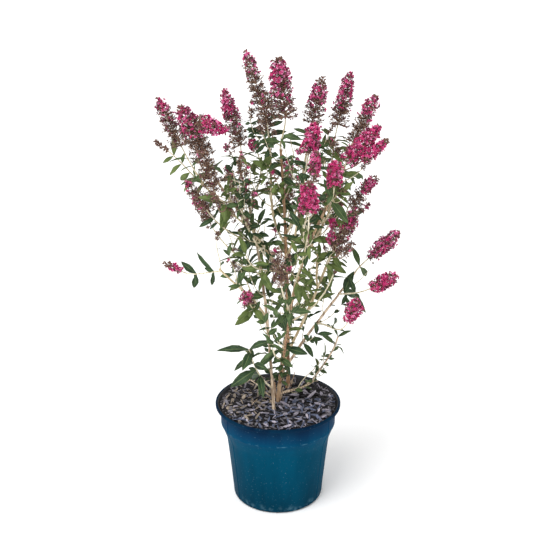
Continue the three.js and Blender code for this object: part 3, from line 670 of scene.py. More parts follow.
# %% Growth tables: wood
STEMS = (("stem_centre", (24, 73), (5, -6, 800), 4.8, 2.6),
         ("stem_left", (-9, -34), (-84, 98, 740), 3.4, 2.6),
         ("stem_right", (0, 4), (100, -70, 700), 4.4, 2.6),
         ("stem_cut_stub", (-7, 22), (-9, 20, 264), 3, 2.6))
FORK, BRANCH, SHOOT, RUNNER = 0.4, 0.62, 0.75, 0.99
BOUGHS = (("bough_left", "stem_centre", 0.45, (-125, -10, 735), 3.8, 2.6, FORK),
          ("bough_right_outer", "stem_right", 0.2, (140, 5, 640), 4, 2.4, FORK),
          ("bough_right_low", "stem_right", 0.13, (165, 10, 530), 3.4, 2.4, FORK),
          ("bough_left_low", "stem_left", 0.38, (-125, -10, 545), 2.9, 2.4, FORK),
          ("bough_back", "stem_centre", 0.14, (18, 145, 560), 4.2, 2.4, FORK),
          ("bough_front", "stem_right", 0.09, (22, -120, 470), 3.2, 2.4, FORK),
          ("bough_left_far", "bough_left", 0.55, (-170, 18, 745), 2.8, 2.5, BRANCH),
          ("bough_top_left", "stem_centre", 0.62, (-18, 25, 800), 2.8, 2.5, BRANCH),
          ("bough_upper_right", "stem_centre", 0.66, (58, 42, 775), 2.9, 2.5, BRANCH),
          ("bough_inner_right", "stem_centre", 0.57, (52, -45, 745), 2.9, 2.5, BRANCH),
          ("bough_right_high", "stem_right", 0.72, (130, -5, 735), 2.8, 2.5, BRANCH),
          ("bough_right_back", "bough_right_outer", 0.55, (115, 85, 745), 2.6, 2.3, BRANCH),
          ("bough_low_right", "stem_right", 0.04, (78, 52, 250), 2.9, 2.5, RUNNER))
print("rows:", len(STEMS), len(BOUGHS))

# %% [markdown]
# A flowering shoot's row says what it grows on, how far along, and where its spike begins and ends.
# Its last numbers are the spike's girth and the share from which florets are still fresh. The lying
# spike stands a little higher than in the source, and some girths differ. Leafy shoots have no spike,
# and the side sprays are small ones of this lesson's own.

# %% Growth tables: shoots
SPIKES = (("top_left", "bough_top_left", 1, (-30, 45, 875), (-66, 55, 990), 21, 0.7),
          ("top_faded", "top_left", 0.3, (-26, 8, 838), (-20, 12, 910), 20, 1.0),
          ("crown", "stem_centre", 1, (14, -10, 865), (-1, -10, 984), 28, 0.5),
          ("upper_right", "bough_upper_right", 1, (70, 50, 845), (92, 58, 938), 23, 0.45),
          ("right_back", "bough_right_back", 1, (128, 110, 830), (154, 120, 940), 23, 0.5),
          ("right_high", "bough_right_high", 1, (155, 40, 806), (200, 40, 902), 20, 0.62),
          ("right_shoulder", "bough_right_high", 0.7, (138, -40, 781), (200, -50, 856), 20, 0.1),
          ("right_shoulder_side", "right_shoulder", 0.8, (168, -58, 788), (217, -62, 830), 13, 0.12),
          ("inner_high", "bough_inner_right", 1, (61, -60, 805), (74, -60, 862), 20, 0.14),
          ("inner_mid", "stem_right", 0.78, (67, -120, 759), (72, -120, 818), 14, 0.42),
          ("inner_low", "stem_right", 0.6, (58, -170, 713), (57, -172, 773), 20, 0.0),
          ("bright_right", "stem_right", 1, (108, -110, 748), (109, -112, 798), 19, 0.0),
          ("right_mid", "bough_right_outer", 1, (149, 0, 681), (203, 0, 742), 18, 0.62),
          ("right_mid_side", "right_mid", 0.6, (158, -26, 670), (188, -28, 690), 12, 0.8),
          ("right_low_mid", "bough_right_outer", 0.72, (114, -60, 602), (157, -60, 672), 17, 0.7),
          ("right_low_side", "right_low_mid", 0.8, (120, -82, 598), (144, -86, 620), 12, 1.0),
          ("right_far", "bough_right_low", 1, (195, 20, 559), (258, 20, 618), 20, 0.18),
          ("right_lower_far", "bough_right_low", 0.8, (195, -40, 512), (250, -40, 540), 20, 0.0),
          ("right_lowest", "bough_right_low", 0.5, (143, -110, 466), (161, -118, 516), 20, 0.1),
          ("left_inner_high", "stem_left", 1, (-80, 80, 791), (-114, 90, 909), 22, 0.5),
          ("left_far_high", "bough_left_far", 1, (-201, 30, 801), (-245, 30, 899), 21, 0.7),
          ("left_cluster", "bough_left", 1, (-150, -10, 789), (-194, -20, 890), 28, 0.52),
          ("left_lying", "left_cluster", 0.6, (-156, -42, 861), (-101, -46, 842), 20, 0.12),
          ("left_bud", "bough_left_far", 0.75, (-232, 60, 783), (-260, 62, 805), 6, 0.0),
          ("left_faded", "bough_left", 0.8, (-128, -60, 728), (-150, -62, 809), 21, 1.0),
          ("left_small", "left_faded", 0.35, (-120, -100, 706), (-127, -104, 732), 12, 1.0),
          ("left_mid", "bough_left", 0.4, (-150, 0, 673), (-190, 0, 734), 17, 0.9),
          ("left_low_far", "bough_left_low", 0.95, (-207, 0, 536), (-243, 0, 556), 11, 0.1),
          ("left_low_small", "bough_left_low", 0.22, (-59, -60, 484), (-71, -62, 512), 17, 0.3),
          ("inner_back", "stem_left", 0.85, (-48, 130, 771), (-61, 132, 795), 15, 0.1),
          ("front_faded", "bough_front", 1, (5, -220, 588), (-4, -220, 657), 18, 0.95),
          ("inner_left", "stem_centre", 0.5, (-77, -40, 744), (-74, -40, 801), 8, 1.0),
          ("back_high", "bough_back", 1, (25, 170, 640), (22, 185, 740), 19, 0.75),
          ("back_left", "bough_back", 0.75, (-90, 185, 620), (-112, 200, 710), 18, 0.8),
          ("back_right", "bough_back", 0.8, (110, 185, 620), (135, 200, 705), 18, 0.2),
          ("back_low_left", "stem_left", 0.55, (-150, 130, 600), (-190, 150, 665), 16, 0.6),
          ("back_low_right", "bough_right_outer", 0.45, (140, 140, 570), (180, 165, 635), 16, 0.3))
LEAFY = (("low_left", "stem_left", 0.09, (-62, -50, 377)),
         ("low_right", "bough_low_right", 1, (133, 20, 377)),
         ("low_front", "bough_front", 0.4, (-14, -118, 425)),
         ("low_back", "bough_back", 0.35, (70, 150, 455)),
         ("inner_leaves_left", "bough_left", 0.12, (-66, -85, 600)),
         ("inner_leaves_right", "stem_right", 0.4, (112, -90, 560)),
         ("inner_leaves_back", "stem_left", 0.35, (-85, 130, 520)))
SIDE_SPRAYS = (("bough_top_left", 0.97, (-56, 30, 859), (-52, 30, 889), 8, 1.0),
               ("bough_upper_right", 0.9, (126, 20, 778), (112, 20, 818), 12, 1.0),
               ("inner_high", 0.6, (60, -75, 806), (33, -75, 810), 7, 0.5),
               ("left_inner_high", 0.2, (-100, 70, 776), (-112, 70, 796), 9, 0.5),
               ("inner_left", 0.6, (-95, -40, 745), (-116, -40, 748), 8, 1.0),
               ("stem_centre", 0.84, (-4, -20, 739), (-12, -20, 758), 8, 1.0),
               ("crown", 0.1, (-14, 0, 819), (-6, 0, 836), 6, 1.0),
               ("right_shoulder", 0.5, (168, -45, 769), (183, -45, 790), 8, 1.0),
               ("bough_left_low", 0.6, (-83, 0, 543), (-106, 0, 561), 9, 1.0),
               ("bough_left_low", 0.97, (-129, 0, 605), (-126, 0, 623), 6, 1.0),
               ("inner_left", 0.3, (-64, -60, 714), (-44, -60, 720), 8, 0.7),
               ("bough_right_outer", 0.85, (114, -50, 648), (107, -50, 669), 9, 0.0),
               ("right_low_mid", 0.6, (115, -70, 618), (101, -70, 642), 12, 0.3),
               ("right_low_mid", 0.5, (137, -40, 583), (154, -40, 613), 9, 1.0),
               ("stem_right", 0.95, (120, -60, 720), (137, -60, 736), 9, 1.0),
               ("bough_right_low", 0.6, (112, -20, 525), (120, -20, 541), 6, 1.0))
print("rows:", len(SPIKES), len(LEAFY), len(SIDE_SPRAYS))

# %% [markdown]
# The growth rule: every limb is one smooth cubic curve that leaves its parent at the parent's own
# direction turned outwards by its splay, and arrives pointing up or along its flower. Working it
# again from the tables puts the limbs where the solids are. Only the low cane, which runs straighter,
# and the lying spike on the left stand a little apart from theirs.

# %% Growth rule
HANDLE, CURVE_STEPS, FLARE_OVER = 0.36, 24, 20


class Limb:
    """A cubic curve with a radius that tapers from foot to tip."""

    def __init__(self, start, leaving, end, arriving, foot, tip, node, flare=0.0):
        reach = HANDLE * (end - start).length
        self.knots = (start, start + leaving.normalized() * reach, end - arriving.normalized() * reach, end)
        self.foot, self.tip, self.node, self.flare = foot, tip, node, flare
        steps = [k / CURVE_STEPS for k in range(CURVE_STEPS + 1)]
        self.length = sum((self.at(s) - self.at(t)).length for s, t in zip(steps, steps[1:]))

    def at(self, t):
        """The point at a share of the way along."""
        a, b, c, d = self.knots
        s = 1 - t
        return a * s ** 3 + b * (3 * s * s * t) + c * (3 * s * t * t) + d * t ** 3

    def way(self, t):
        """The direction there."""
        a, b, c, d = self.knots
        s = 1 - t
        return ((b - a) * (s * s) + (c - b) * (2 * s * t) + (d - c) * (t * t)).normalized()

    def thick(self, t):
        """The radius there, with the flare at the foot."""
        swell = self.flare * max(0.0, 1 - t * self.length / FLARE_OVER) ** 2
        return (self.foot + (self.tip - self.foot) * t) * (1 + swell)

    def path(self, steps):
        """Even points along the curve with their radii."""
        return [(self.at(k / steps), self.thick(k / steps)) for k in range(steps + 1)]


def leaving_way(parent, at, target, splay):
    """The way a child leaves its parent: along it, turned towards the target by the splay."""
    along = parent.way(at)
    if at == 1:
        return along
    out = target - parent.at(at)
    out = (out - along * out.dot(along)).normalized()
    return out * splay + along * math.sqrt(1 - splay * splay)


print("curve handles:", HANDLE, "of a limb's reach")

# %% [markdown]
# Now the limbs are grown in order, so that each finds its parent: stems first, then boughs, then the
# shoots. A bough is at most four fifths as thick as its parent where it leaves it.

# %% Growing the limbs
SURFACE = 222.3
CHILD_PART = 0.8
STEM_LEAN, TIP_LEAN, STEM_FLARE, BRANCH_LIFT = 0.4, 1.2, 0.4, 0.4
STALK_FOOT, STALK_TIP = 2.2, 1.3
STRAIGHT = ("low_right",)
limbs, stalks = {}, {}


def host(name):
    """The limb or shoot of that name."""
    return limbs.get(name) or stalks[name]


for name, foot, tip, thick, thin in STEMS:
    start, end = Vector((*foot, SURFACE)), Vector(tip)
    chord = (end - start).normalized()
    lean = Vector((chord.x, chord.y, 0))
    limbs[name] = Limb(start, UP + lean * STEM_LEAN, end, chord + lean * TIP_LEAN, thick, thin, name,
                       STEM_FLARE)
for name, on, at, tip, thick, thin, splay in BOUGHS:
    parent, end = limbs[on], Vector(tip)
    start = parent.at(at)
    arriving = (end - start).normalized() + UP * (BRANCH_LIFT if splay > FORK else 0)
    foot = min(thick, parent.thick(at) * CHILD_PART)
    limbs[name] = Limb(start, leaving_way(parent, at, end, splay), end, arriving, foot,
                       min(thin, foot * 0.9), name)
for name, on, at, end, spike_tip, *_ in list(SPIKES) + [(*row, None) for row in LEAFY]:
    parent, end = host(on), Vector(end)
    start = parent.at(at)
    arriving = Vector(spike_tip) - end if spike_tip else (end - start).normalized() + UP
    foot = min(STALK_FOOT, parent.thick(at) * CHILD_PART)
    node = "shoot_" + name if on in limbs else parent.node
    leaving = end - start if name in STRAIGHT else leaving_way(parent, at, end, SHOOT)
    thin = STALK_FOOT if name in STRAIGHT else STALK_TIP
    stalks[name] = Limb(start, leaving, end, arriving, max(foot, thin), min(thin, foot), node)
SHOOT_NODES = sorted({stalk.node for stalk in stalks.values()})
SPIKE_NODES = sorted({stalks[row[0]].node for row in SPIKES})
print("limbs:", len(limbs), "shoots:", len(stalks), "shoot solids:", len(SHOOT_NODES))

# %% [markdown]
# Bark comes in several tones on this plant: the main stem is brown and peeling, the left one pale
# cream, the others tan, this year's wood cream with a green tinge, and flower stalks brown. One
# function makes them all: grain patches drawn out along the stem and a bump from the same mask.

# %% Bark finishes
BARKS = (("bark_brown", (80, 54, 38), (190, 152, 118), (146, 98, 68), 0.85),
         ("bark_tan", (84, 60, 44), (212, 180, 144), (160, 118, 84), 0.8),
         ("bark_cream", (112, 86, 66), (232, 212, 186), (194, 160, 130), 0.8),
         ("bark_young", (172, 150, 114), (230, 214, 180), (196, 172, 128), 0.7),
         ("bark_twig", (178, 162, 124), (242, 232, 206), (186, 180, 136), 0.7),
         ("bark_flower", (110, 82, 68), (164, 132, 108), (134, 102, 82), 0.8))


def bark_finish(name, dark, light, tint, roughness):
    """Fine upright grain under a broad change of tint."""
    finish, tree, shader, where = new_finish(name, roughness)
    grain = place(tree, patches, Vector=where, Stretch=(1, 1, 0.08), Scale=260.0, Low=0.45, High=0.55,
                  First=paint(*dark), Second=paint(*light))
    cast = place(tree, patches, Vector=where, Stretch=(1, 1, 0.5), Scale=30.0, Low=0.42, High=0.6,
                 First=paint(*light), Second=paint(*tint))
    coat(tree, shader, blend(tree, 0.32, grain["Colour"], cast["Colour"]), grain["Mask"], 0.55, 0.0007)
    return finish


barks = {row[0]: bark_finish(*row) for row in BARKS}
print("bark finishes:", len(barks))

# %% [markdown]
# Stems and boughs are tubes along their curves, thick at the mulch and thin at the tip. The source
# is a polyline with a thickness at each point; the tree sweeps a circle along it and pushes the
# skin in and out with noise that is drawn out along the limb, which gives ridged, real bark.

# %% Limb skin tree
skin_tree, entry, leave = new_factory(
    "limb_skin", [("Sides", COUNT, 10), ("Relief", NUMBER, 0.3), ("Ridges", NUMBER, 1.6),
                  ("Stretch", NUMBER, 60.0), ("Finish", FINISH)])


def keep(geometry, label, measure):
    """Store where each point stands on its curve under a name."""
    spot = add(skin_tree, "GeometryNodeSplineParameter").outputs[measure]
    return add(skin_tree, "GeometryNodeStoreNamedAttribute", {"data_type": "FLOAT", "domain": "POINT"},
               Geometry=geometry, Name=label, Value=spot).outputs[0]


line = add(skin_tree, "GeometryNodeMeshToCurve", Mesh=entry["Geometry"])
ring = add(skin_tree, "GeometryNodeCurvePrimitiveCircle", Resolution=entry["Sides"], Radius=1.0)
tube = add(skin_tree, "GeometryNodeCurveToMesh", Curve=keep(line.outputs[0], "along", "Length"),
           Profile_Curve=keep(ring.outputs[0], "round", "Factor"), Fill_Caps=True,
           Scale=named(skin_tree, "thick", "FLOAT"))
turn = maths(skin_tree, "MULTIPLY", named(skin_tree, "round", "FLOAT"), 2 * math.pi)
lift = maths(skin_tree, "MULTIPLY", named(skin_tree, "along", "FLOAT"), entry["Stretch"])
spot = add(skin_tree, "ShaderNodeCombineXYZ", X=maths(skin_tree, "COSINE", turn),
           Y=maths(skin_tree, "SINE", turn), Z=lift)
noise = add(skin_tree, "ShaderNodeTexNoise", Vector=spot.outputs[0], Scale=entry["Ridges"], Detail=3.0)
centred = maths(skin_tree, "SUBTRACT", noise.outputs[0], 0.5)
depth = maths(skin_tree, "MULTIPLY", maths(skin_tree, "MULTIPLY", centred, entry["Relief"]),
              named(skin_tree, "thick", "FLOAT"))
push = add(skin_tree, "ShaderNodeVectorMath", {"operation": "SCALE"},
           i0=add(skin_tree, "GeometryNodeInputNormal").outputs[0], Scale=depth)
rough = add(skin_tree, "GeometryNodeSetPosition", Geometry=tube.outputs[0], Offset=push.outputs[0])
close_factory(skin_tree, leave, rough.outputs[0], entry["Finish"])
print("tree:", skin_tree.name)

# %% [markdown]
# A limb's path wanders a little between its ends, and its thickness has small knots. Each stem and
# bough gets its own skin and stands for its own solid.

# %% Bark on stems and boughs
limb_dice = random.Random(23)
LIMB_BARK = {"stem_centre": "bark_brown", "stem_left": "bark_cream", "bough_front": "bark_brown",
             "bough_right_low": "bark_cream", "bough_low_right": "bark_cream"}
ROOT_DEPTH, ROOT_SWELL = 9, 1.1


def limb_path(limb, step, wander):
    """Points along a limb with small knots and bends, its ends kept in place."""
    count = max(3, round(limb.length / step))
    path = []
    for k in range(count + 1):
        t = k / count
        quiet = min(1.0, 6 * t, 6 * (1 - t))
        sway = Vector([limb_dice.uniform(-1, 1) for _ in range(3)]) * wander * quiet
        path.append((limb.at(t) + sway, limb.thick(t) * (1 + 0.08 * limb_dice.uniform(-1, 1.4) * quiet)))
    return path


def path_mesh(name, paths):
    """Polylines as loose edges, each path a list of (point, radius) in millimetres."""
    vertices, edges, radii = [], [], []
    for path in paths:
        edges += [(len(vertices) + k, len(vertices) + k + 1) for k in range(len(path) - 1)]
        vertices += [tuple(p * MM) for p, r in path]
        radii += [r * MM for p, r in path]
    mesh = new_mesh(name, vertices, edges=edges)
    mesh.attributes.new("thick", "FLOAT", "POINT").data.foreach_set("value", radii)
    return mesh


def grow_skin(name, paths, skin, bark, slot, *nodes):
    """Sweep bark along paths and stand it for its solids."""
    sides, relief, ridges, stretch = skin
    mesh = run_factory(name, path_mesh(name, paths), skin_tree, Sides=sides, Relief=relief,
                       Ridges=ridges, Stretch=stretch, Finish=barks[bark])
    smooth(mesh)
    stand_piece(name, mesh, slot, *nodes)


for name, *_ in STEMS:
    path = limb_path(limbs[name], 7, 0.35)
    path.insert(0, (path[0][0] - UP * ROOT_DEPTH, path[0][1] * ROOT_SWELL))
    grow_skin(name + "_bark", [path], (12, 0.42, 1.7, 45.0), LIMB_BARK.get(name, "bark_tan"),
              "old_wood", name)
for name, *_ in BOUGHS:
    grow_skin(name + "_bark", [limb_path(limbs[name], 8, 0.4)], (9, 0.32, 1.5, 50.0),
              LIMB_BARK.get(name, "bark_young"), "young_wood", name)

# %% [markdown]
# Leaves stand in opposite pairs, each pair turned a quarter from the last, on the shoots and on
# short side twigs. Every leaf is tried against limbs, spikes and earlier leaves, so that few cut
# through another: balls along each limb and sample points along each leaf are compared in NumPy.

# %% Balls along the limbs
grow_dice = random.Random(204)
BALL_STEP = 6


def spike_width(share, pinch=0.0, blunt=8):
    """Half width of a spike as a part of its girth; pinched at the foot, blunt or pointed at the tip."""
    foot = min(1.0, 1 - pinch + share)
    return foot * math.sqrt(max(0.0, 1 - share ** blunt)) * (1 - 0.28 * share)


ball_spots, ball_sizes = [], []
for limb in list(limbs.values()) + list(stalks.values()):
    count = max(4, round(limb.length / BALL_STEP))
    for spot, thick in limb.path(count)[1:]:
        ball_spots.append(spot)
        ball_sizes.append(thick + 1.5)
for name, on, at, foot, tip, girth, fresh in SPIKES:
    foot, tip = Vector(foot), Vector(tip)
    count = max(3, round((tip - foot).length / BALL_STEP))
    for k in range(count + 1):
        ball_spots.append(foot.lerp(tip, k / count))
        ball_sizes.append(girth * spike_width(k / count) + 2)
ball_spots, ball_sizes = np.array(ball_spots), np.array(ball_sizes)
leaf_spots = np.zeros((0, 3))
print("balls along limbs and spikes:", len(ball_spots))

# %% [markdown]
# A leaf has room if its samples keep clear of every ball but those next to its own root, of the
# samples of earlier leaves and of the mulch, and stay within a little of the solids' box.

# %% Room for a leaf
OWN_TWIG, LEAF_ROOM, EDGE_ROOM = 12, 1.5, 6
LEAF_SAMPLES, SMALL_LEAF = (0.35, 0.65, 0.97), 30
LOWEST_LEAF, LOWEST_SMALL = 268, 238
LOW_EDGE, HIGH_EDGE = np.array(CAD_LOW) / MM - EDGE_ROOM, np.array(CAD_HIGH) / MM + EDGE_ROOM


def spans(samples, spots):
    """Distance from every sample to every spot."""
    return np.linalg.norm(samples[:, None] - spots[None], axis=2)


def outside(samples):
    """Whether any sample leaves the room that the solids take up."""
    return (samples < LOW_EDGE).any() or (samples > HIGH_EDGE).any()


def leaf_fits(root, way, face, size):
    """Whether a leaf has room; if so, its sample points are kept for the leaves after it."""
    global leaf_spots
    samples = np.array([root + way * (size * s) - face * (size * 0.2 * s * s) for s in LEAF_SAMPLES])
    lowest = LOWEST_LEAF if size > SMALL_LEAF else LOWEST_SMALL
    if outside(samples) or samples[:, 2].min() < lowest:
        return False
    own = np.linalg.norm(ball_spots - np.array(root), axis=1) < OWN_TWIG
    gaps = spans(samples, ball_spots) - ball_sizes[None]
    if (gaps[:, ~own] < LEAF_ROOM).any():
        return False
    if len(leaf_spots) and spans(samples, leaf_spots).min() < 0.18 * size + 3.2:
        return False
    leaf_spots = np.vstack([leaf_spots, samples])
    return True


print("room in mm:", [round(v) for v in HIGH_EDGE - LOW_EDGE])

# %% [markdown]
# One leaf: it leaves its twig at an opening angle, droops a little and turns its upper side up and
# out of the crown. Where it has no room, a few other poses are tried. Small leaves are rounder, and
# long ones near the mulch have been shed, so the stems' feet stay bare.

# %% One leaf
leaves, twig_paths, cane_paths, spike_paths, sprays = [], [], [], [], []
LIGHT_DROOP, DEEP_DROOP = (0.0, 0.6), (0.3, 0.9)
SHED_BELOW, SHED_LONGER = 300, 40
ROUND_BELOW, ROUNDER = 26, 1.65
POSES, LEAF_KINDS = 6, 6


def around(along, turn):
    """The way straight out of a twig at a turn about it."""
    reference = Vector((1, 0, 0)) if abs(along.x) < 0.8 else Vector((0, 1, 0))
    across = (reference - along * reference.dot(along)).normalized()
    return across * math.cos(turn) + along.cross(across) * math.sin(turn)


def facing(root, along):
    """Where the upper side of a leaf looks: up, along its twig and out of the crown."""
    outwards = Vector((0.25 * root.x, root.y - 60, 0)).normalized()
    return UP * 0.65 + along * 0.3 + outwards * 0.65


def try_leaf(root, along, out, size, opening, tone, droop=LIGHT_DROOP, look=None):
    """Set one leaf on a twig; a few other poses are tried before the place stays empty."""
    for attempt in range(POSES):
        swing = grow_dice.uniform(-0.4, 0.4) * (1 + attempt * 0.5)
        across = along.cross(out)
        heading = (out * math.cos(swing) + across * math.sin(swing)).normalized()
        angle = opening * grow_dice.uniform(0.8, 1.2)
        way = along * math.cos(angle) + heading * math.sin(angle)
        way = (way - UP * grow_dice.uniform(*droop)).normalized()
        length = size * grow_dice.uniform(0.72, 1.15) * (1 - 0.06 * attempt)
        face = look or facing(root, along)
        face = face - way * face.dot(way)
        if face.length < 0.2:
            face = along - way * along.dot(way)
        face.normalize()
        roll = grow_dice.uniform(-0.6, 0.6)
        face = (face * math.cos(roll) + way.cross(face) * math.sin(roll)).normalized()
        if leaf_fits(root, way, face, length):
            kind = grow_dice.randrange(LEAF_KINDS)
            wide = grow_dice.uniform(0.85, 1.15) * (ROUNDER if length < ROUND_BELOW else 1.0)
            if root.z > SHED_BELOW or length < SHED_LONGER:
                leaves.append((root, way, face, length, wide, kind, tone))
            return


print("poses tried for a leaf:", POSES)

# %% [markdown]
# Pairs follow each other up a limb, closest under the flowers and sparse low in the crown. Beside a
# pair there may be a side twig, and small young leaves in its axils.

# %% Leaf pairs
OPENING, YOUNG_OPENING, TIP_OPENING = 1.05, 0.6, 0.5
HIGH_CROWN, HIGH_PART = 700, 0.92


def leafiness(z):
    """Share of leaves that stay at a height: canes are barer low in the crown."""
    if z >= 580:
        return min(1.0, 0.3 + (z - 580) / 220)
    return 0.55 if z < 400 else 0.27 if z < 470 else 0.45


def closeness(z):
    """Spacing of the leaf pairs at a height as a part of the usual one."""
    return 1.0 if z < HIGH_CROWN else 0.66 if z < 780 else 0.5


def leaf_pairs(limb, first, spacing, size_low, size_high, tone, last=0.97, side=(0, 0), often=0.0,
               flat=False, least=0.0, droop=LIGHT_DROOP):
    """Opposite pairs along a limb, all in one upright plane if flat; side twigs beside some of them."""
    turn = grow_dice.uniform(0, math.pi)
    distance = first
    while distance < limb.length * last:
        t = distance / limb.length
        along = limb.way(t)
        size = (size_low + (size_high - size_low) * t) * (HIGH_PART if limb.at(t).z > HIGH_CROWN else 1.0)
        for half in (0, math.pi):
            out, look = around(along, turn + half), None
            if flat:
                out = (UP - along * along.z).normalized() * (1 if half else -1)
                look = (along.cross(out) + UP * 0.3) * (-1 if along.cross(out).y > 0 else 1)
            root = limb.at(t) + out * limb.thick(t) * 0.7
            if grow_dice.random() < often:
                side_twig(limb, t, along, out, grow_dice.uniform(*side), size, tone)
            if flat or grow_dice.random() < max(least, leafiness(root.z)):
                try_leaf(root, along, out, size, OPENING, tone, droop, look)
            if size > SMALL_LEAF and grow_dice.random() < 0.4:
                try_leaf(root, along, out, grow_dice.uniform(12, 22), YOUNG_OPENING, tone)
        turn += math.pi / 2 + grow_dice.uniform(-0.2, 0.2)
        distance += spacing * grow_dice.uniform(0.85, 1.15) * closeness(root.z)


def tip_leaves(limb, size, tone, droop=LIGHT_DROOP):
    """The closing pair at a twig's tip, more upright than the rest."""
    along = limb.way(1)
    turn = grow_dice.uniform(0, math.pi)
    for half in (0, math.pi):
        try_leaf(limb.at(1) - along, along, around(along, turn + half), size, TIP_OPENING, tone, droop)


print("leaves stay at 600 mm:", round(leafiness(600), 2), "and at 800 mm:", leafiness(800))

# %% [markdown]
# A side twig grows only where it has room. Some stay bare; the others carry smaller pairs and end in
# a closing pair or, in the upper crown, in a little flower spray.

# %% Side twigs
TWIG_STEPS, TWIG_ROOM, TWIG_BALL = 6, 2, 2.0
BARE_TWIGS, SPRAY_SHARE = 0.3, 0.35
SPRAY_LOW, SPRAY_HIGH, SPRAY_ROOM = 560, 850, 5


def side_twig(limb, t, along, out, reach, size, tone):
    """A twig that rises beside its limb, if it has room, with leaves towards its tip."""
    global ball_spots, ball_sizes
    end = limb.at(t) + (along * 0.82 + out * 0.52 + UP * 0.12).normalized() * reach
    twig = Limb(limb.at(t), along * 0.5 + out * 0.85, end, (end - limb.at(t)) + UP * reach * 0.4,
                0.65 + reach / 140, 0.6, limb.node)
    path = twig.path(TWIG_STEPS)
    samples = np.array([spot for spot, thick in path[2:]])
    gaps = spans(samples, ball_spots) - ball_sizes[None]
    crowded = len(leaf_spots) and spans(samples, leaf_spots).min() < 2 * TWIG_ROOM
    if gaps[1:].min() < TWIG_ROOM or crowded or outside(samples):
        return
    twig_paths.append(path)
    ball_spots = np.vstack([ball_spots, samples])
    ball_sizes = np.append(ball_sizes, [TWIG_BALL] * len(samples))
    if grow_dice.random() < BARE_TWIGS:
        return
    leaf_pairs(twig, reach * 0.45, max(16, reach * 0.28), size * 0.66, size * 0.5, tone, last=0.9)
    spray_tip = end + twig.way(1) * grow_dice.uniform(13, 24)
    clear = np.linalg.norm(ball_spots - np.array(spray_tip), axis=1) - ball_sizes
    roomy = SPRAY_LOW < end.z < SPRAY_HIGH and clear.min() > SPRAY_ROOM
    if roomy and grow_dice.random() < SPRAY_SHARE:
        girth = grow_dice.uniform(5, 8)
        sprays.append((end, spray_tip, girth, grow_dice.choice((1.0, 1.0, 1.0, 0.4))))
    else:
        tip_leaves(twig, size * 0.6, tone)


print("side twigs keep clear by mm:", TWIG_ROOM)

# %% [markdown]
# The leafing rule is carried one step finer than in the solids: pairs about every 26 mm on a shoot,
# side twigs out of some of them, and small tufts out of the bare canes. Leaves shorten towards the
# flower; each shoot gets one green, so colour changes from spray to spray as on the real plant.

# %% Leafing out
LEAF_TONES = ("leaf_deep", "leaf_green", "leaf_fresh")
PLAIN = ("left_low_far", "right_far", "right_lower_far", "left_bud")
LEAF_GAPS = {"left_inner_high": 0.5, "top_left": 0.55, "upper_right": 0.55, "left_mid": 2.0,
             "right_mid": 1.5, "bright_right": 2.0, "inner_leaves_left": 1.5, "inner_leaves_right": 1.9,
             "inner_low": 1.5, "right_low_mid": 1.4, "low_left": 0.6, "low_right": 0.8}
LEAF_SCALE = {"low_left": 1.2, "low_right": 0.78, "left_low_far": 0.9, "low_front": 0.8}
TUFTS = (("stem_centre", 50, 0.3, "leaf_green"), ("stem_left", 70, 0.28, "leaf_deep"),
         ("stem_right", 60, 0.3, "leaf_deep"), ("bough_front", 12, 0.5, "leaf_green"),
         ("bough_low_right", 30, 0.97, "leaf_green"), ("low_right", 4, 0.45, "leaf_green"))
FIRST_PAIR, PAIR_SPACING, PLAIN_SPACING = 16, 26, 36
BOUGH_SPACING, SPRAY_SPACING, TUFT_SPACING = 48, 15, 12
FOOT_LEAF, FLOWER_LEAF, UPPER_LEAF, END_LEAF = 60, 42, 56, 54
BOUGH_LEAVES, SPRAY_LEAVES, TUFT_LEAVES = (58, 52), (28, 22), (17, 24)
BARE_STEM, BARE_BOUGH, BARE_SPRAY = 170.0, 50.0, 12
STALK_STEPS, SPRAY_STEPS = 14, 8
LYING_START = Vector((-174, -20, 846))

for index, (name, stalk) in enumerate(stalks.items()):
    side_spike = stalk.node != "shoot_" + name
    path = stalk.path(STALK_STEPS)
    if name == "left_lying":
        path = [(LYING_START, 1.3), (stalk.at(1), 1.2)]
    (spike_paths if side_spike else cane_paths if name == "low_right" else twig_paths).append(path)
    if side_spike:
        continue
    flowering, plain = index < len(SPIKES), name in PLAIN
    rosette, low = name == "low_left", name in ("low_left", "low_right")
    tone = "leaf_deep" if rosette else LEAF_TONES[(index * 5 + index // 3) % 3]
    scale, droop = LEAF_SCALE.get(name, 1.0), DEEP_DROOP if rosette else LIGHT_DROOP
    spacing = (PLAIN_SPACING if plain else PAIR_SPACING) * LEAF_GAPS.get(name, 1.0)
    upper_leaf = FLOWER_LEAF if flowering else UPPER_LEAF
    leaf_pairs(stalk, FIRST_PAIR, spacing, FOOT_LEAF * scale, upper_leaf * scale, tone, last=0.95,
               side=(24, 60), often=0.0 if plain or low else 0.55, flat=plain,
               least=1.0 if rosette else 0.0, droop=droop)
    if not flowering:
        tip_leaves(stalk, END_LEAF * scale, tone, droop)
for index, limb in enumerate(limbs.values()):
    if limb.node != "stem_cut_stub":
        bare = BARE_STEM if limb.node.startswith("stem") else BARE_BOUGH
        leaf_pairs(limb, bare, BOUGH_SPACING, *BOUGH_LEAVES, LEAF_TONES[index % 3], side=(40, 100),
                   often=0.7 if limb.tip > 2.4 else 0.5)
for index, (on, at, foot, tip, girth, fresh) in enumerate(SIDE_SPRAYS):
    parent, foot, tip = host(on), Vector(foot), Vector(tip)
    leaving = leaving_way(parent, at, foot, SHOOT)
    twig = Limb(parent.at(at), leaving, foot, tip - foot, 1.2, 0.8, parent.node)
    twig_paths.append(twig.path(SPRAY_STEPS))
    leaf_pairs(twig, BARE_SPRAY, SPRAY_SPACING, *SPRAY_LEAVES, LEAF_TONES[index % 3], last=0.92)
    sprays.append((foot, tip, girth, fresh))
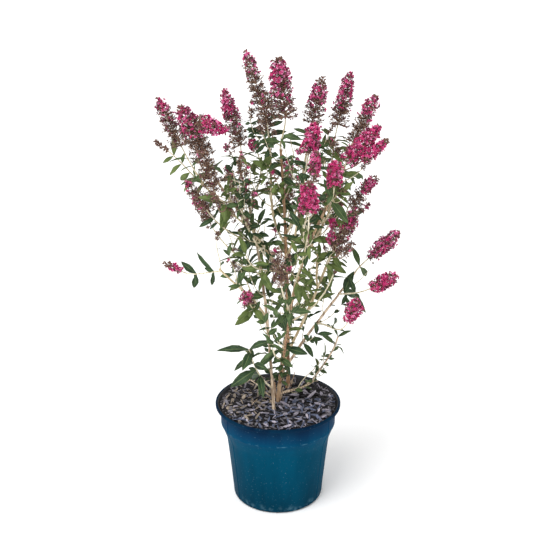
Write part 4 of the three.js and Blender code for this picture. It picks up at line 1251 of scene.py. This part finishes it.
for name, first, last, tone in TUFTS:
    leaf_pairs(host(name), first, TUFT_SPACING, *TUFT_LEAVES, tone, last=last, side=(12, 32), often=0.5,
               least=0.85)
print("leaves:", len(leaves), "twigs:", len(twig_paths))

# %% [markdown]
# A leaf blade is lance-shaped, folded a little along its midrib, arched, and felted pale below. Six
# models differ in arch and twist. Each is closed and has under forty faces: four strips on top, two
# below, joined along the margin, because it is repeated by the thousand.

# %% Leaf models
BLADE_ROWS = (0.0, 0.1, 0.3, 0.52, 0.74, 0.9, 1.0)
BLADE_WIDTHS = (0.1, 0.34, 0.86, 1.0, 0.72, 0.36, 0.02)
LEAF_SHAPES = ((0.3, 0.26, 0.2, 0.0, 0.05), (0.32, 0.2, 0.3, 0.25, 0.08), (0.28, 0.34, 0.4, -0.2, 0.12),
               (0.34, 0.16, 0.14, -0.4, 0.0), (0.31, 0.22, 0.24, 0.45, 0.06), (0.27, 0.4, 0.12, 0.1, 0.0))


def leaf_model(index, wide, fold, arch, twist, lift):
    """A unit leaf along x with its upper face to z."""
    vertices, spots = [], []

    def put(s, side, raised):
        angle = twist * s
        vertices.append((s * (1 - 0.25 * arch * s), side * math.cos(angle) - raised * math.sin(angle),
                         lift * s - arch * s * s + side * math.sin(angle) + raised * math.cos(angle)))
        spots.append((0.5 + 0.5 * (side / half if half else 0), s))
        return len(vertices) - 1

    upper, lower = [], []
    for s, share in zip(BLADE_ROWS, BLADE_WIDTHS):
        half = 0.5 * wide * share
        wave = 0.012 * math.sin(17 * s + index)
        left, right = put(s, -half, fold * half + wave), put(s, half, fold * half - wave)
        middle = [put(s, half * part, fold * half * 0.75 * bool(part)) for part in (-0.55, 0, 0.55)]
        upper.append([left, *middle, right])
        lower.append([left, put(s, 0, -0.016 * (0.4 + share)), right])
    faces, below = [], []
    for k in range(len(BLADE_ROWS) - 1):
        for j in range(4):
            faces.append([upper[k][j], upper[k + 1][j], upper[k + 1][j + 1], upper[k][j + 1]][::-1])
        for j in range(2):
            faces.append([lower[k][j], lower[k + 1][j], lower[k + 1][j + 1], lower[k][j + 1]])
        below += [False] * 4 + [True] * 2
    faces += [(upper[0] + [lower[0][1]])[::-1], upper[-1] + [lower[-1][1]]]
    below += [True] * 2
    mesh = new_mesh(f"leaf_{index}", vertices, faces)
    set_uv(mesh, "blade", spots)
    mesh.attributes.new("below", "BOOLEAN", "FACE").data.foreach_set("value", below)
    smooth(mesh)
    return mesh


leaf_models = [leaf_model(index, *shape) for index, shape in enumerate(LEAF_SHAPES)]
print("leaf faces:", [len(m.polygons) for m in leaf_models])

# %% [markdown]
# The greens are plain base colours dealt out by shoot, mottled a little, with the paler midrib and a
# painted highlight along the margin from the veins effect. The underside is another finish: dull
# grey-green felt.

# %% Leaf finishes
LEAF_PAINTS = {"leaf_deep": ((28, 47, 30), (54, 78, 50)), "leaf_green": ((47, 67, 39), (80, 101, 62)),
               "leaf_fresh": ((69, 86, 43), (107, 122, 67))}
# The rib colour also paints the pale margin, a painted highlight along the leaf's edge.
RIB_AND_RIM_PAINT, RIB_AND_RIM_PART = (132, 150, 96), 0.5


def leaf_finish(name, dark, light, rib, roughness):
    """Mottled green with paler, slightly sunken veins and margin; the pale margin is a painted highlight."""
    finish, tree, shader, where = new_finish(name, roughness)
    shader.inputs["Specular IOR Level"].default_value = 0.18
    blade = add(tree, "ShaderNodeUVMap", {"uv_map": "blade"}).outputs[0]
    mottle = place(tree, patches, Vector=where, Scale=55.0, Low=0.35, High=0.65, First=paint(*dark),
                   Second=paint(*light))
    veins_and_rim = place(tree, veins_and_rim_highlight, Vector=blade)["Mask"]
    colour = blend(tree, maths(tree, "MULTIPLY", veins_and_rim, RIB_AND_RIM_PART), mottle["Colour"], paint(*rib))
    coat(tree, shader, colour, veins_and_rim, 0.4, 0.0006, sunk=True)
    return finish


felt = leaf_finish("leaf_felt", (82, 94, 56), (120, 130, 86), (146, 152, 112), 0.95)
leaf_tops = {tone: leaf_finish(tone, *pair, RIB_AND_RIM_PAINT, 0.55) for tone, pair in LEAF_PAINTS.items()}
print("leaf finishes:", list(leaf_tops))

# %% [markdown]
# One tree sets every repeated shape: the source mesh is a cloud of points that carry a turn, a size
# and the number of the model, and the tree puts that model on each point, makes it real and paints
# upper and lower faces.

# %% Setting tree
setting, entry, leave = new_factory("set_models", [("Models", MODELS), ("Upper", FINISH), ("Lower", FINISH)])
choice = add(setting, "GeometryNodeCollectionInfo", Collection=entry["Models"], Separate_Children=True,
             Reset_Children=True)
lay = add(setting, "GeometryNodeInstanceOnPoints", Points=entry["Geometry"], Instance=choice.outputs[0],
          Pick_Instance=True, Instance_Index=named(setting, "kind", "INT"),
          Rotation=named(setting, "turn", "QUATERNION"), Scale=named(setting, "size", "FLOAT_VECTOR"))
close_factory(setting, leave, lay.outputs[0], entry["Upper"], entry["Lower"])


def point_mesh(name, rows):
    """Points with turn, size and model number; a row is (spot, along, face, sizes, kind) in mm."""
    mesh = new_mesh(name, [tuple(row[0] * MM) for row in rows])
    turns, sizes = [], []
    for spot, along, face, scale, kind in rows:
        turns += Matrix((along, face.cross(along), face)).transposed().to_quaternion()[:]
        sizes += [value * MM for value in scale]
    mesh.attributes.new("turn", "QUATERNION", "POINT").data.foreach_set("value", turns)
    mesh.attributes.new("size", "FLOAT_VECTOR", "POINT").data.foreach_set("vector", sizes)
    mesh.attributes.new("kind", "INT", "POINT").data.foreach_set("value", [row[4] for row in rows])
    return mesh


def set_piece(name, rows, shapes, upper, lower, slot, nodes):
    """Set models on points and stand the result for its solids."""
    models = hide_shapes(name + "_model", shapes)
    mesh = run_factory(name, point_mesh(name, rows), setting, Models=models, Upper=upper, Lower=lower)
    stand_piece(name, mesh, slot, *nodes)
    drop_shapes(models)


for tone in LEAF_TONES:
    rows = [(root, way, face, (length, length * wide, length), kind)
            for root, way, face, length, wide, kind, own in leaves if own == tone]
    set_piece(tone, rows, leaf_models, leaf_tops[tone], felt, "foliage", SHOOT_NODES)

# %% [markdown]
# A flower spike is a cone of small lumps, each lump a few florets on a branchlet. Open florets sit
# above, brown withered ones below with sky between them, and unopened buds close the tip. Placing
# is counted in tiers up the spike, turned by the golden angle so no rows line up.

# %% Spike plan
bloom_dice = random.Random(47)
PETALS = ("petal_bright", "petal_magenta", "petal_crimson")
FADED = ("withered", "withered_dark", "petal_crimson")
blooms = {kind: [] for kind in (*PETALS, "withered", "withered_dark", "bud_brown")}
TIER, WHORL, LUMP, GOLDEN_TURN = 5.2, 15.0, 5.8, 2.39996
TOP_SHARE, AXIS_STEPS = 0.985, 6
PINCHED = ("right_far", "right_lower_far", "right_lowest", "left_low_far", "bright_right")
POINTED = ("top_left", "left_inner_high", "left_far_high", "upper_right", "right_back", "left_lying",
           "left_low_far")
SLIM = {"crown": 0.92, "right_mid_side": 0.75, "inner_back": 0.85}
WINE = ("upper_right", "right_back", "left_inner_high", "left_far_high", "inner_mid", "crown")
BUD_TIPS = {"left_low_far": 0.6, "upper_right": 0.8, "inner_mid": 0.95, "left_bud": 0.0,
            "right_shoulder_side": 0.85, "crown": 0.93, "inner_low": 0.9, "right_mid": 0.9}
print("spikes:", len(SPIKES), "sprays:", len(sprays))

# %% [markdown]
# A lump holds two to five florets, more where they have withered. Each takes a tone of its lump's
# state by chance: buds one brown, withered florets two browns and now and then a wine red, open ones
# three pinks.

# %% Lumps of florets
NEARLY_FRESH = 0.15


def set_bloom(kind, spot, way, size, models):
    """Plan one floret, turned at random about its own axis."""
    along = around(way, bloom_dice.uniform(0, 2 * math.pi))
    blooms[kind].append((spot, along, way, (size, size, size), bloom_dice.choice(models)))


def set_lump(name, heart, out, along, fresh, faded, budding):
    """Plan the few florets of one branchlet."""
    for _ in range(bloom_dice.choice((4, 4, 5, 5) if faded else (2, 3, 3, 4))):
        wander = Vector([bloom_dice.uniform(-1, 1) for _ in range(3)])
        way = (out * 0.8 + along * bloom_dice.uniform(-0.1, 0.6) + wander * 0.5).normalized()
        spot = heart + wander * (1.2 if budding else 3.2)
        if budding:
            set_bloom("bud_brown", spot, way, bloom_dice.uniform(2.0, 2.8), (0, 0))
        elif faded:
            tone = bloom_dice.choices(FADED, (4.6, 3.9, 1.5 if name in WINE else 0.2))[0]
            set_bloom(tone, spot, way, bloom_dice.uniform(1.3, 2.4), (0, 1))
        else:
            tone = bloom_dice.choices(PETALS, (3, 7, 2) if fresh < NEARLY_FRESH else (3.4, 4, 3.6))[0]
            set_bloom(tone, spot, way, bloom_dice.uniform(1.9, 3.1), (0, 1, 2))


print("tones:", len(blooms))

# %% [markdown]
# Now each spike is filled tier by tier. Withered florets gather in whorls and some have fallen; a
# lump far from the axis gets its own branchlet.

# %% Filling the spikes
def on_spike(share):
    """Keep a share of the way up inside the spike."""
    return min(TOP_SHARE, max(0.0, share))


bloom_rows = [(row[0], Vector(row[3]), Vector(row[4]), row[5], row[6]) for row in SPIKES]
bloom_rows += [("spray", *row) for row in sprays]
for name, foot, tip, girth, fresh in bloom_rows:
    along, length = (tip - foot).normalized(), (tip - foot).length
    spike_paths.append([(foot.lerp(tip, k / AXIS_STEPS), 1.2 - 0.8 * k / AXIS_STEPS)
                        for k in range(AXIS_STEPS + 1)])
    tiers = max(3, round(length / TIER))
    turn = bloom_dice.uniform(0, 6)
    for tier in range(tiers):
        share = (tier + 0.5) / tiers
        width = spike_width(share, 0.4 if name in PINCHED else 0.0, 4 if name in POINTED else 8)
        reach = max(2.5, girth * SLIM.get(name, 1.0) * width - 0.5)
        lumps = max(5, round(2 * math.pi * reach * 0.9 / LUMP))
        turn += GOLDEN_TURN
        for k in range(lumps):
            out = around(along, turn + 2 * math.pi * k / lumps + bloom_dice.uniform(-0.25, 0.25))
            height = on_spike(share + bloom_dice.uniform(-0.5, 0.5) / tiers)
            faded = height + bloom_dice.gauss(0, 0.12) < fresh
            faded = faded or bloom_dice.random() < (0.24 if fresh > NEARLY_FRESH else 0.15)
            far = reach * bloom_dice.uniform(0.3 if share > 0.85 or faded else 0.62, 1.04)
            if faded and height < fresh:
                whorl = round(height * length / WHORL) * WHORL + bloom_dice.gauss(0, 3.4)
                height = on_spike(whorl / length)
            if faded and bloom_dice.random() < 0.18 + 0.9 * max(0, 0.25 - height):
                continue
            heart = foot.lerp(tip, height) + out * far
            if far > 6:
                start = foot.lerp(tip, max(0.0, height - far * 0.5 / length))
                spike_paths.append([(start, 0.6), (heart - along * 1.5, 0.45)])
            set_lump(name, heart, out, along, fresh, faded, height > BUD_TIPS.get(name, 0.97))
print("florets:", {kind: len(rows) for kind, rows in blooms.items()})

# %% [markdown]
# A floret is a narrow tube that opens into four rounded lobes, about 5 mm across. The model is a
# closed star funnel of 24 triangles; withered ones are smaller and spiky, buds are little spindles.

# %% Floret models
def star_model(name, ring, throat, stem):
    """A closed funnel: a ring of (radius, degrees, height) points, a sunken throat, a stem point."""
    vertices = [(r * math.cos(math.radians(a)), r * math.sin(math.radians(a)), z) for r, a, z in ring]
    vertices += [(0, 0, throat), (0, 0, stem)]
    count = len(ring)
    faces = [[k, (k + 1) % count, count] for k in range(count)]
    faces += [[(k + 1) % count, k, count + 1] for k in range(count)]
    mesh = new_mesh(name, vertices, faces)
    set_uv(mesh, "petal", [(r, 0.5) for r, a, z in ring] + [(0.0, 0.5)] * 2)
    return mesh


def lobes(open_out, lift, unevenness):
    """The rim of an open floret: four lobes of uneven size."""
    ring = []
    for k in range(4):
        reach = open_out * (1 + unevenness * math.sin(2.4 * k))
        ring += [(0.36, 90 * k - 45, 0.0), (reach, 90 * k - 21, lift), (reach, 90 * k + 21, lift)]
    return ring


def burr(count, near, far):
    """The rim of a dried floret: points of (radius, height) near and far by turns."""
    rim = [(far if k % 2 else near) for k in range(count)]
    return [(radius, 360 / count * k, lift) for k, (radius, lift) in enumerate(rim)]


open_models = [star_model("floret_0", lobes(1.0, 0.18, 0.1), -0.12, -1.3),
               star_model("floret_1", lobes(0.85, 0.45, 0.16), -0.2, -1.3),
               star_model("floret_2", lobes(1.05, 0.02, 0.2), -0.1, -1.2)]
dry_models = [star_model("dry_0", burr(8, (0.3, 0.1), (0.95, 0.5)), -0.2, -1.5),
              star_model("dry_1", burr(6, (0.35, 0.2), (0.7, 0.9)), 0.1, -1.6)]
bud_models = [star_model("bud_0", burr(6, (0.62, 0.0), (0.62, 0.0)), 1.5, -1.2)]
print("floret models:", len(open_models + dry_models + bud_models))

# %% [markdown]
# A petal's colour runs from a dark heart to a lighter rim, which the model's own UV tells apart, and
# two rim tones are mixed from floret to floret. All florets of a tone become one piece.

# %% Florets
BLOOM_SETS = (("petal_bright", open_models, (248, 166, 206), (164, 34, 98), (234, 100, 164)),
              ("petal_magenta", open_models, (220, 48, 130), (120, 12, 60), (204, 38, 112)),
              ("petal_crimson", open_models, (140, 40, 90), (74, 16, 44), (114, 32, 70)),
              ("withered", dry_models, (196, 164, 142), (112, 86, 72), (168, 136, 116)),
              ("withered_dark", dry_models, (110, 82, 76), (56, 39, 38), (88, 63, 60)),
              ("bud_brown", bud_models, (128, 92, 78), (92, 64, 56), (136, 96, 74)))


def petal_finish(name, rim, heart, shade):
    """From the heart's colour to a rim in two mixed tones."""
    finish, tree, shader, where = new_finish(name, 0.6)
    spread = add(tree, "ShaderNodeUVMap", {"uv_map": "petal"}).outputs[0]
    reach = add(tree, "ShaderNodeSeparateXYZ", Vector=spread).outputs[0]
    tint = place(tree, patches, Vector=where, Scale=160.0, Low=0.4, High=0.6, First=paint(*rim),
                 Second=paint(*shade))
    coat(tree, shader, blend(tree, mapped(tree, reach, 0.15, 0.8), paint(*heart), tint["Colour"]))
    return finish


for name, shapes, *tones in BLOOM_SETS:
    finish = petal_finish(name, *tones)
    set_piece(name, blooms[name], shapes, finish, finish, "blossom", SPIKE_NODES)

# %% [markdown]
# Leafy stalks and side twigs are thin cream tubes, flower axes and branchlets thinner brown ones. The
# low cane and a few short dry twigs at the stems' feet are of older, paler wood. All four use the
# limb skin tree with few sides and little relief.

# %% Twigs
DRY_TWIGS = (((-14, 21, 223), (-71, 59, 256), 1.3), ((-22, 54, 222), (-43, 46, 262), 1.0),
             ((-9, -15, 223), (-22, -18, 246), 1.2), ((-5, -22, 223), (-16, -30, 238), 0.9),
             ((-60, -28, 229), (-46, 3, 231), 0.9), ((-2, 12, 223), (-14, 14, 272), 2.4),
             ((6, 14, 223), (12, 8, 258), 1.8), ((23, 66, 223), (33, 58, 252), 1.6),
             ((30, 76, 223), (40, 82, 262), 1.5), ((66, 50, 247), (92, 44, 256), 1.1))
DRY_STEPS, DRY_BEND, DRY_TAPER = 5, 0.06, 0.08
dry_paths = []
for foot, tip, thick in DRY_TWIGS:
    foot, tip = Vector(foot), Vector(tip)
    bend = Vector((0, 0, DRY_BEND * (tip - foot).length))
    dry_paths.append([(foot.lerp(tip, k / DRY_STEPS) + bend * math.sin(math.pi * k / DRY_STEPS),
                       thick * (1 - DRY_TAPER * k)) for k in range(DRY_STEPS + 1)])
TUBES = (("twigs", twig_paths, (5, 0.12, 1.2, 80.0), "bark_twig", "young_wood", SHOOT_NODES),
         ("low_cane", cane_paths, (7, 0.3, 1.5, 50.0), "bark_cream", "young_wood", ["shoot_low_right"]),
         ("dry_twigs", dry_paths, (5, 0.3, 1.5, 70.0), "bark_cream", "old_wood", ["stem_cut_stub"]),
         ("flower_stalks", spike_paths, (4, 0.1, 1.2, 80.0), "bark_flower", "young_wood", SPIKE_NODES))
for name, paths, skin, bark, slot, nodes in TUBES:
    grow_skin(name, paths, skin, bark, slot, *nodes)

# %% Measure and finish
low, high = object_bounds()
print("visual box in mm:", [round(v / MM) for v in (high - low)])
